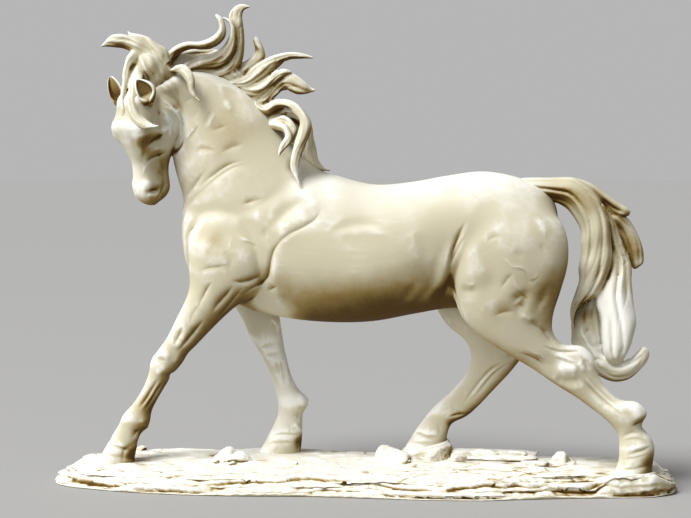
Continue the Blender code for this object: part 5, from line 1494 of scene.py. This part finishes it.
def stone_rings(x, y, rx, ry, rz, turn, z, flats, seed):
    """A stone broken along flat faces.

    It is what lies inside a box and some planes, the one with normal n at distance o from the
    middle, with edges a little worn: in direction d the radius is
    (sum of max(d . n / o, 0)^10)^(-1/10).
    """
    dice = np.random.default_rng(seed)
    planes = dice.normal(size=(flats, 3)) * (1, 1, 0.8)
    planes /= np.linalg.norm(planes, axis=1)[:, None]
    planes /= dice.uniform(0.7, 0.95, (flats, 1))
    planes = np.concatenate([planes, np.eye(3) / 1.15, -np.eye(3) / 1.15])
    ball = ball_rings((0, 0, 0), (1, 1, 1), 26, 52)
    ball /= np.linalg.norm(ball, axis=-1, keepdims=True) + 1e-9
    inside = (np.maximum(ball @ planes.T, 0) ** 10).sum(-1) ** (-1 / 10)
    spot = ball * inside[..., None] * (rx, ry, rz)
    swell = 1 + 0.05 * waves(spot, 8, 300 + seed) + 0.03 * waves(spot, 3, 400 + seed)
    a = math.radians(turn)
    spin = np.array([[math.cos(a), math.sin(a), 0], [-math.sin(a), math.cos(a), 0], [0, 0, 1]])
    return (spot * swell[..., None]) @ spin + (x, y, z)


WEDGE = (40.5, 15, 23.7, 0.22, 15, 13)  # middle (x, y), height, rise along x, half sizes


def wedge_rings(x, y, ground, rise, half_length, half_width):
    """The sloping rock under the far hind hoof: a boxy ring that spreads as it drops."""
    t, bends = np.linspace(0, 1, 40), [0, 0.45, 0.6, 1]
    grow = np.interp(t, bends, [-half_width + 1, 0, 2, 4.5])[:, None]
    drop = np.interp(t, bends, [0, 0, 2.5, 16])[:, None]
    a = np.linspace(0, 2 * math.pi, 120, endpoint=False)[None]
    px = (half_length + grow) * np.sign(np.cos(a)) * np.abs(np.cos(a)) ** 0.7
    py = (half_width + grow) * np.sign(np.sin(a)) * np.abs(np.sin(a)) ** 0.7
    spot = np.stack([px, py, 0 * px - drop], -1)
    rough = waves(spot, 9, 71) * 0.5 + np.round(waves(spot, 13, 72) * 2) * 0.4
    spot[..., :2] *= 1 + (rough * np.clip(drop / 3, 0, 1))[..., None] * 0.06
    return spot + np.stack([x + 0 * px, y + 0 * px, ground + rise * px], -1)


stones = [closed_loft(stone_rings(*row) * MM) for row in STONES]
rock = new_piece("rock_slab", *joined([slab, closed_loft(wedge_rings(*WEDGE) * MM), *stones]))
print("rock:", len(rock.data.polygons), "triangles")

# %% [markdown]
# ## Where the stain and the painted shade lie
#
# Ivory resin is stained brown after casting and wiped: the stain stays in grooves. Colour also
# stands in for light: painted shade under overhangs, between parts and on undersides, and a
# painted highlight on upper sides and ridges, which are also wiped clean. So each point gets
# three numbers: how hollow the skin is there, how sharp a ridge it is, and how far it looks up.
# Cycles can find corners with an Ambient Occlusion node, but numbers on the mesh stay the same
# in every viewer.

# %% Small hollows, against a smoother skin
def relief(piece, rounds):
    """How far the smoothed skin lies outside each point, in mm, after each number of rounds.
    One round moves every point to the mean of its neighbours."""
    (one, two), start, normals = edges_of(piece), points_of(piece), points_of(piece, "normal")
    now, found = start, []
    for step in range(1, max(rounds) + 1):
        now = mean_beside(now, one, two)
        if step in rounds:
            found.append(((now - start) * normals).sum(1) / MM)
    return found


pieces = {"body": body, "mane": mane, "tail": tail, "ears": ears, "rock": rock}
print("deepest crease of the body:", round(relief(body, (10,))[0].max(), 2), "mm")

# %% [markdown]
# ## Large hollows, against the skin all round
#
# Smoothing tells nothing of skins that lie close together, such as one lock over another or
# a thigh beside the flank. So the area of all the skins is counted into a grid of small cells,
# and the grid is blurred over three reaches, the widest about 20 mm. Where more skin lies in
# front of a point than behind it, the point is in a hollow, and the finish paints shade there,
# where the skin round it would block the light.

# %% A grid of all the skin
CELL = 1.5 * MM
REACHES = (2, 6, 11)  # cells
MARGIN = 40  # cells round the sculpture


def box_blur(grid, radius):
    """Each cell becomes the mean of the cells within radius, along each axis in turn, as a
    difference of running sums."""
    for axis in range(3):
        pad = [(radius + 1, radius) if k == axis else (0, 0) for k in range(3)]
        total = np.cumsum(np.pad(grid, pad), axis=axis)
        far = np.take(total, np.arange(2 * radius + 1, total.shape[axis]), axis)
        near = np.take(total, np.arange(0, total.shape[axis] - 2 * radius - 1), axis)
        grid = (far - near) / (2 * radius + 1)
    return grid


def middles_and_areas(piece):
    """The middle of each triangle of the piece, and its area."""
    piece.data.calc_loop_triangles()
    triangles = piece.data.loop_triangles
    areas, corners = np.empty(len(triangles), np.float32), np.empty(3 * len(triangles), np.int32)
    triangles.foreach_get("area", areas)
    triangles.foreach_get("vertices", corners)
    return points_of(piece)[corners.reshape(-1, 3)].mean(1), areas


every_point = np.concatenate([points_of(piece) for piece in pieces.values()])
corner = every_point.min(0) - MARGIN * CELL
skin = np.zeros(np.ceil((every_point.max(0) + MARGIN * CELL - corner) / CELL).astype(int))
for piece in pieces.values():
    middles, areas = middles_and_areas(piece)
    np.add.at(skin, tuple(((middles - corner) / CELL).astype(int).T), areas)
blurred = {reach: box_blur(box_blur(skin, reach), reach) for reach in REACHES}
print("grid of", skin.shape, "cells")

# %% Read the grid before and behind
def crowding(points, normals, reach):
    """How much skin lies in front of each point against how much lies behind it: 0.5 on a flat
    skin, more in a hollow. The blurred grid is read one reach in front and one behind."""
    read = []
    for way in (1, -1):
        at = (points + way * normals * reach * 1.3 * CELL - corner) / CELL - 0.5
        base = np.floor(at).astype(int)
        part = at - base
        total = 0
        for dx, dy, dz in np.ndindex(2, 2, 2):
            share = np.prod(np.where([dx, dy, dz], part, 1 - part), axis=1)
            index = np.clip(base + (dx, dy, dz), 0, np.array(skin.shape) - 1)
            total = total + share * blurred[reach][tuple(index.T)]
        read.append(total)
    return read[0] / (read[0] + read[1] + 1e-12)


in_front = crowding(points_of(body), points_of(body, "normal"), REACHES[0])
print("skin in front, on the body:", np.round(np.percentile(in_front, [5, 50, 95]), 2))

# %% [markdown]
# ## Spots of painted light and shade
#
# Where the picture is paler or browner than the hollows explain, a row says so: a round spot,
# seen from the side, and how much painted light brightens it or, below 0, how much painted
# shade darkens it.

# %% Spots wiped by hand
LIGHT_AND_SHADE_SPOTS = [  # middle (x, z) and reach in mm, and how much painted light brightens the spot; below 0, painted shade darkens it
    (-154, 226, 9, 1.1), (-153, 210, 8, 1.0), (-147, 200, 8, 0.5), (-124, 240, 9, 1.5),
    (-128, 226, 8, 0.6), (-58, 92, 18, 1.3), (-52, 62, 16, 1.0), (-50, 38, 12, 0.8),
    (60, 90, 20, 0.3), (131, 84, 8, 0.9), (100, 106, 10, 0.3), (168, 118, 16, 1.9),
    (166, 98, 14, 1.5), (150, 92, 10, 0.7), (178, 86, 9, 0.6), (130, 197, 12, -0.55),
    (150, 190, 11, -0.35), (166, 180, 9, -0.4), (177, 160, 9, -0.45), (147.5, 115.5, 8, -1.1),
    (149.5, 103, 5, -0.4), (-90, 236, 20, -0.35), (-97, 165, 12, -0.5), (-146, 226, 4, -0.35),
    (-154, 20, 5, -0.5), (-44, 25, 5, -0.7), (187, 22, 5, -0.5), (186, 11, 5, -0.6),
    (0, 106, 30, -0.25), (38, 112, 16, -0.15), (-64, 124, 9, 0.7), (-52, 116, 8, 0.4),
    (-147, 52, 12, -0.5), (52, 128, 5, -0.6), (-30, 190, 18, 0.3), (-40, 205, 14, 0.3),
]


def light_and_shade_spots(points):
    """The painted light at each point, and below 0 the painted shade, as seen from the side: the
    sum over the rows of amount * exp(-(distance / reach)^2)."""
    x, z = points[:, 0] / MM, points[:, 2] / MM
    return sum(
        amount * np.exp(-((x - at_x) ** 2 + (z - at_z) ** 2) / reach**2)
        for at_x, at_z, reach, amount in LIGHT_AND_SHADE_SPOTS
    )


# painted light, and below 0 painted shade, of the spots on the body
spots_seen = light_and_shade_spots(points_of(body))
print("wiped off the body, least and most:", np.round([spots_seen.min(), spots_seen.max()], 2))

# %% [markdown]
# ## Three numbers for each point
#
# The measures are added up, each between the value where it starts to count and the value where
# it counts in full. Hair gets more stain and painted shade than skin, and the cups of the ears
# get the most. On a ridge the smoothed skin lies inside. Up leans a little towards the muzzle, as
# the skylight below does: the finish paints a highlight where up is high, so that the palest
# resin lies where most light falls, and paints shade on the undersides.

# %% Keep hollow, ridge and up on the meshes
DEEPER = {"body": 1.35, "mane": 1.7, "tail": 1.7, "ears": 2.0, "rock": 1.35}
UPWARDS = (-0.42, -0.08, 0.9)

for name, piece in pieces.items():
    fine, medium, broad = relief(piece, (2, 10, 36))
    points, normals = points_of(piece), points_of(piece, "normal")
    close, wide, far = (crowding(points, normals, reach) for reach in REACHES)
    # hollow: stain in small grooves, and painted shade where skin crowds round, under overhangs and
    # between parts
    hollow = 0.2 * step_up(fine, 0.02, 0.2) + 0.45 * step_up(medium, 0.08, 0.8)
    hollow += 0.45 * step_up(broad, 0.2, 1.6)
    hollow += 0.9 * step_up(close, 0.54, 0.82) + 0.5 * step_up(wide, 0.52, 0.78)
    hollow += 0.4 * step_up(far, 0.5, 0.75)
    hollow *= DEEPER[name]
    ridge = 0.6 * step_up(-fine, 0.01, 0.1) + 0.6 * step_up(-medium, 0.05, 0.5)
    # up: the finish paints a highlight where it is high and shade where it is low
    up = normals @ UPWARDS
    if name == "ears":
        # the ears' cups: more stain and painted shade inside
        hollow, up = hollow + 1.2 * cup, up - 1.3 * cup**2
    elif name != "rock":
        # spots of painted light lower the stain and raise up; below 0 they paint shade
        spot_light_and_shade = light_and_shade_spots(points)
        hollow, up = hollow - spot_light_and_shade, up + 0.7 * spot_light_and_shade
    for title, values in (("hollow", hollow), ("ridge", ridge), ("up", up)):
        layer = piece.data.attributes.new(title, "FLOAT", "POINT")
        layer.data.foreach_set("value", values.astype(np.float32))
    print(name, "hollow", np.round(np.percentile(hollow, [10, 50, 90]), 2),
          "ridge", np.round(np.percentile(ridge, [50, 90]), 2))

# %% [markdown]
# ## Finishes
#
# Shader maths is written as plain expressions. A Value wraps a socket, and an operator on it
# adds the Math node. The resin is one finish in two castings: ivory, stained brown in the
# grooves, with painted shade in hollows and on undersides, a painted highlight on ridges and
# upper sides, and a soft satin sheen.

# %% A small language for shader maths
class Value:
    """A number that varies over a surface: a socket whose operators add Math nodes."""

    def __init__(self, nodes, socket):
        self.nodes, self.socket = nodes, socket

    def maths(self, operation, other):
        """The Math node of this value and another one, or a plain number."""
        made = self.nodes.add("ShaderNodeMath", {"operation": operation}, {0: self, 1: other})
        return Value(self.nodes, made.outputs[0])

    def __add__(self, other):
        return self.maths("ADD", other)

    def __sub__(self, other):
        return self.maths("SUBTRACT", other)

    def __mul__(self, other):
        return self.maths("MULTIPLY", other)

    def __rsub__(self, other):
        return (self * -1).maths("ADD", other)

    __radd__, __rmul__ = __add__, __mul__

    def ramp(self, low, high):
        """0 below low and 1 above high, smoothly between them."""
        made = self.nodes.add(
            "ShaderNodeMapRange", {"interpolation_type": "SMOOTHSTEP"},
            {"Value": self, "From Min": low, "From Max": high},
        )
        return Value(self.nodes, made.outputs["Result"])


# %% A finish and its nodes
class Finish:
    """A material and its nodes."""

    def __init__(self, name):
        self.material = bpy.data.materials.new(name)
        self.material.use_nodes = True
        self.tree = self.material.node_tree
        self.shader = self.tree.nodes["Principled BSDF"]

    def add(self, kind, settings=None, inputs=None):
        """Any node: its type, then its settings, then values or links for its sockets."""
        node = self.tree.nodes.new(kind)
        for title, value in (settings or {}).items():
            setattr(node, title, value)
        for title, value in (inputs or {}).items():
            self.put(node.inputs[title], value)
        return node

    def put(self, socket, value):
        """Links the value, or sets it where it is a plain number or colour."""
        if isinstance(value, Value):
            value = value.socket
        if isinstance(value, bpy.types.NodeSocket):
            self.tree.links.new(value, socket)
        else:
            socket.default_value = value

    def measured(self, title):
        """One of the numbers kept on the mesh."""
        made = self.add("ShaderNodeAttribute", {"attribute_name": title})
        return Value(self, made.outputs["Fac"])

    def noise(self, scale, detail=4.0, rough=0.5, stretch=(1, 1, 1)):
        """Noise on Object coordinates, scale bumps to the metre."""
        place = self.add("ShaderNodeTexCoord").outputs["Object"]
        place = self.add("ShaderNodeMapping", None, {"Vector": place, "Scale": stretch}).outputs[0]
        made = self.add("ShaderNodeTexNoise", None, {
            "Vector": place, "Scale": scale, "Detail": detail, "Roughness": rough,
        })
        return Value(self, made.outputs["Fac"])

    def mix(self, share, one, two):
        """Colour one where share is 0, colour two where it is 1."""
        made = self.add("ShaderNodeMix", {"data_type": "RGBA"}, {0: share, 6: one, 7: two})
        return made.outputs[2]


# %% [markdown]
# ## Stained and shaded ivory resin
#
# Ivory is the plain resin. Pale is a painted highlight on upper sides, and on ridges, which are
# also wiped clean; tan and brown are the stain in grooves and the painted shade in hollows and on
# undersides, tan where they are light and brown where they are deep. The four colours were found
# by trial: render, compare some spots with the picture, set again. The rock's bedding also holds
# stain in hairline cracks, which are finer than the mesh, so they are drawn by the shader.

# %% Stained ivory resin
IVORY = (0.59, 0.55, 0.40, 1)
PALE = (0.90, 0.89, 0.83, 1)
TAN = (0.33, 0.23, 0.07, 1)
BROWN = (0.085, 0.041, 0.004, 1)


def cracks(finish, up):
    """1 on thin broken lines along the bedding of the rock's upper sides, else 0: the distance
    to the nearest edge of stretched cells, where it is next to nothing."""
    place = finish.add("ShaderNodeTexCoord").outputs["Object"]
    bend = finish.add("ShaderNodeTexNoise", None, {"Vector": place, "Scale": 60.0, "Detail": 3.0})
    place = finish.add("ShaderNodeVectorMath", {"operation": "MULTIPLY_ADD"}, {
        0: bend.outputs["Color"], 1: (0.012, 0.012, 0.012), 2: place,
    })
    place = finish.add("ShaderNodeMapping", None, {
        "Vector": place.outputs[0], "Scale": (0.3, 1.4, 0.2),
    })
    cell = finish.add("ShaderNodeTexVoronoi", {"feature": "DISTANCE_TO_EDGE"}, {
        "Vector": place.outputs[0], "Scale": 70.0,
    })
    line = 1 - Value(finish, cell.outputs["Distance"]).ramp(0.01, 0.028)
    return line * up.ramp(0.45, 0.8) * finish.noise(22, 2.0, 0.5, (0.6, 1.5, 1)).ramp(0.46, 0.56)


def stained_and_shaded(name, sheen, grain):
    """Ivory resin: a painted highlight on ridges and upper sides, tan then brown for stain and
    painted shade in hollows and on undersides.
    """
    finish = Finish(name)
    hollow, ridge, up = (finish.measured(title) for title in ("hollow", "ridge", "up"))
    cloud = finish.noise(28, 3.0) - 0.5
    speck = finish.noise(420, 3.0, 0.6) - 0.5
    stain_and_shade = hollow + cloud * 0.5 + speck * 0.25
    # painted highlight: pale on upper sides, and on ridges
    colour = finish.mix((up * 0.75 + ridge * 0.6 + cloud * 0.3).ramp(0.15, 1.0), IVORY, PALE)
    # painted shade: more stain on the undersides, where up is low
    stain_and_shade = stain_and_shade + (cloud * 0.5 - up).ramp(-0.3, 0.95) * 2.0
    if name == "rock_stained_and_shaded":
        stain_and_shade = stain_and_shade + cracks(finish, up) * 0.9
    colour = finish.mix(stain_and_shade.ramp(0.15, 1.4), colour, TAN)
    colour = finish.mix(stain_and_shade.ramp(0.9, 2.2), colour, BROWN)
    finish.put(finish.shader.inputs["Base Color"], colour)
    finish.put(finish.shader.inputs["Roughness"], 0.46 + stain_and_shade.ramp(0.2, 1.6) * 0.22 + speck * 0.1)
    finish.shader.inputs["IOR"].default_value = 1.48
    finish.shader.inputs["Specular IOR Level"].default_value = sheen
    bump = finish.add("ShaderNodeBump", None, {
        "Height": finish.noise(260, 4.0, 0.6) * 0.6 + finish.noise(900, 2.0) * 0.4,
        "Strength": grain, "Distance": 0.0004,
    })
    finish.put(finish.shader.inputs["Normal"], bump.outputs["Normal"])
    return finish.material


ivory, stony = stained_and_shaded("ivory_stained_and_shaded", 0.2, 0.18), stained_and_shaded("rock_stained_and_shaded", 0.2, 0.5)
for piece in pieces.values():
    piece.data.materials.clear()
    piece.data.materials.append(stony if piece is rock else ivory)
print("finishes:", ivory.name, "and", stony.name)

# %% [markdown]
# ## Ride on the frame
#
# The four pieces of the horse stand in for its one casting, and the slab for the other.

# %% Tie the pieces to the CAD nodes
for piece in (body, mane, tail, ears):
    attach(piece, "root")
    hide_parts("horse")
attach(rock, "root")
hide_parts("rock_base")
print("pieces:", [piece.name for piece in (body, mane, tail, ears, rock)])

# %% [markdown]
# ## Floor and light
#
# A pale floor and three lights: a broad skylight from above, the left and the front, a weak
# warm lamp in front, and a stronger one on the left. Backs are lit and flanks stay darker and
# warmer, as in the picture.

# %% Floor
floor = bpy.data.meshes.new("floor")
turn = np.linspace(0, 2 * math.pi, 96, endpoint=False)
disc = np.stack([6 * np.cos(turn), 6 * np.sin(turn), 0 * turn - 0.0002], -1)
floor.from_pydata(disc.tolist(), [], [list(range(96))])
floor = bpy.data.objects.new("floor", floor)
bpy.context.scene.collection.objects.link(floor)
matt = Finish("pale_floor")
matt.shader.inputs["Base Color"].default_value = (0.36, 0.36, 0.36, 1)
matt.shader.inputs["Roughness"].default_value = 0.8
floor.data.materials.append(matt.material)
print("floor:", round(floor.dimensions.x, 1), "m across")


# %% Three lights
def area_light(name, place, aim, size, watts, colour):
    """A round lamp at a place, turned to its aim, size metres wide."""
    lamp = bpy.data.objects.new(name, bpy.data.lights.new(name, "AREA"))
    lamp.data.shape = "DISK"
    lamp.data.size, lamp.data.energy, lamp.data.color = size, watts, colour
    lamp.location = place
    way = Vector(place) - Vector(aim)
    lamp.rotation_euler = way.to_track_quat("Z", "Y").to_euler()
    bpy.context.scene.collection.objects.link(lamp)


sun = bpy.data.objects.new("skylight", bpy.data.lights.new("skylight", "SUN"))
sun.data.energy, sun.data.angle, sun.data.color = 3.7, math.radians(28), (1.0, 1.0, 0.99)
sun.rotation_euler = Vector((-0.5, -0.42, 1.0)).to_track_quat("Z", "Y").to_euler()
bpy.context.scene.collection.objects.link(sun)
area_light("front", (-0.8, -1.5, 0.45), (0, 0, 0.15), 0.8, 1.6, (1.0, 0.96, 0.88))
area_light("left", (-1.5, -0.9, 0.5), (0, 0, 0.13), 0.7, 7.0, (1.0, 0.98, 0.94))

# %% [markdown]
# ## Backdrop
#
# The camera sees a plain pale backdrop, and the sculpture is lit by a darker and warmer one, as
# in a room with cream walls. A Light Path node chooses between the two.

# %% Backdrop
world = bpy.data.worlds.new("studio")
world.use_nodes = True
sky = world.node_tree
seen, lit = sky.nodes["Background"], sky.nodes.new("ShaderNodeBackground")
seen.inputs["Color"].default_value = (0.47, 0.47, 0.475, 1)
lit.inputs["Color"].default_value = (0.285, 0.277, 0.262, 1)
rays, choose = sky.nodes.new("ShaderNodeLightPath"), sky.nodes.new("ShaderNodeMixShader")
sky.links.new(rays.outputs["Is Camera Ray"], choose.inputs[0])
sky.links.new(lit.outputs[0], choose.inputs[1])
sky.links.new(seen.outputs[0], choose.inputs[2])
sky.links.new(choose.outputs[0], sky.nodes["World Output"].inputs["Surface"])
bpy.context.scene.world = world
bpy.context.scene.view_settings.view_transform = "Standard"
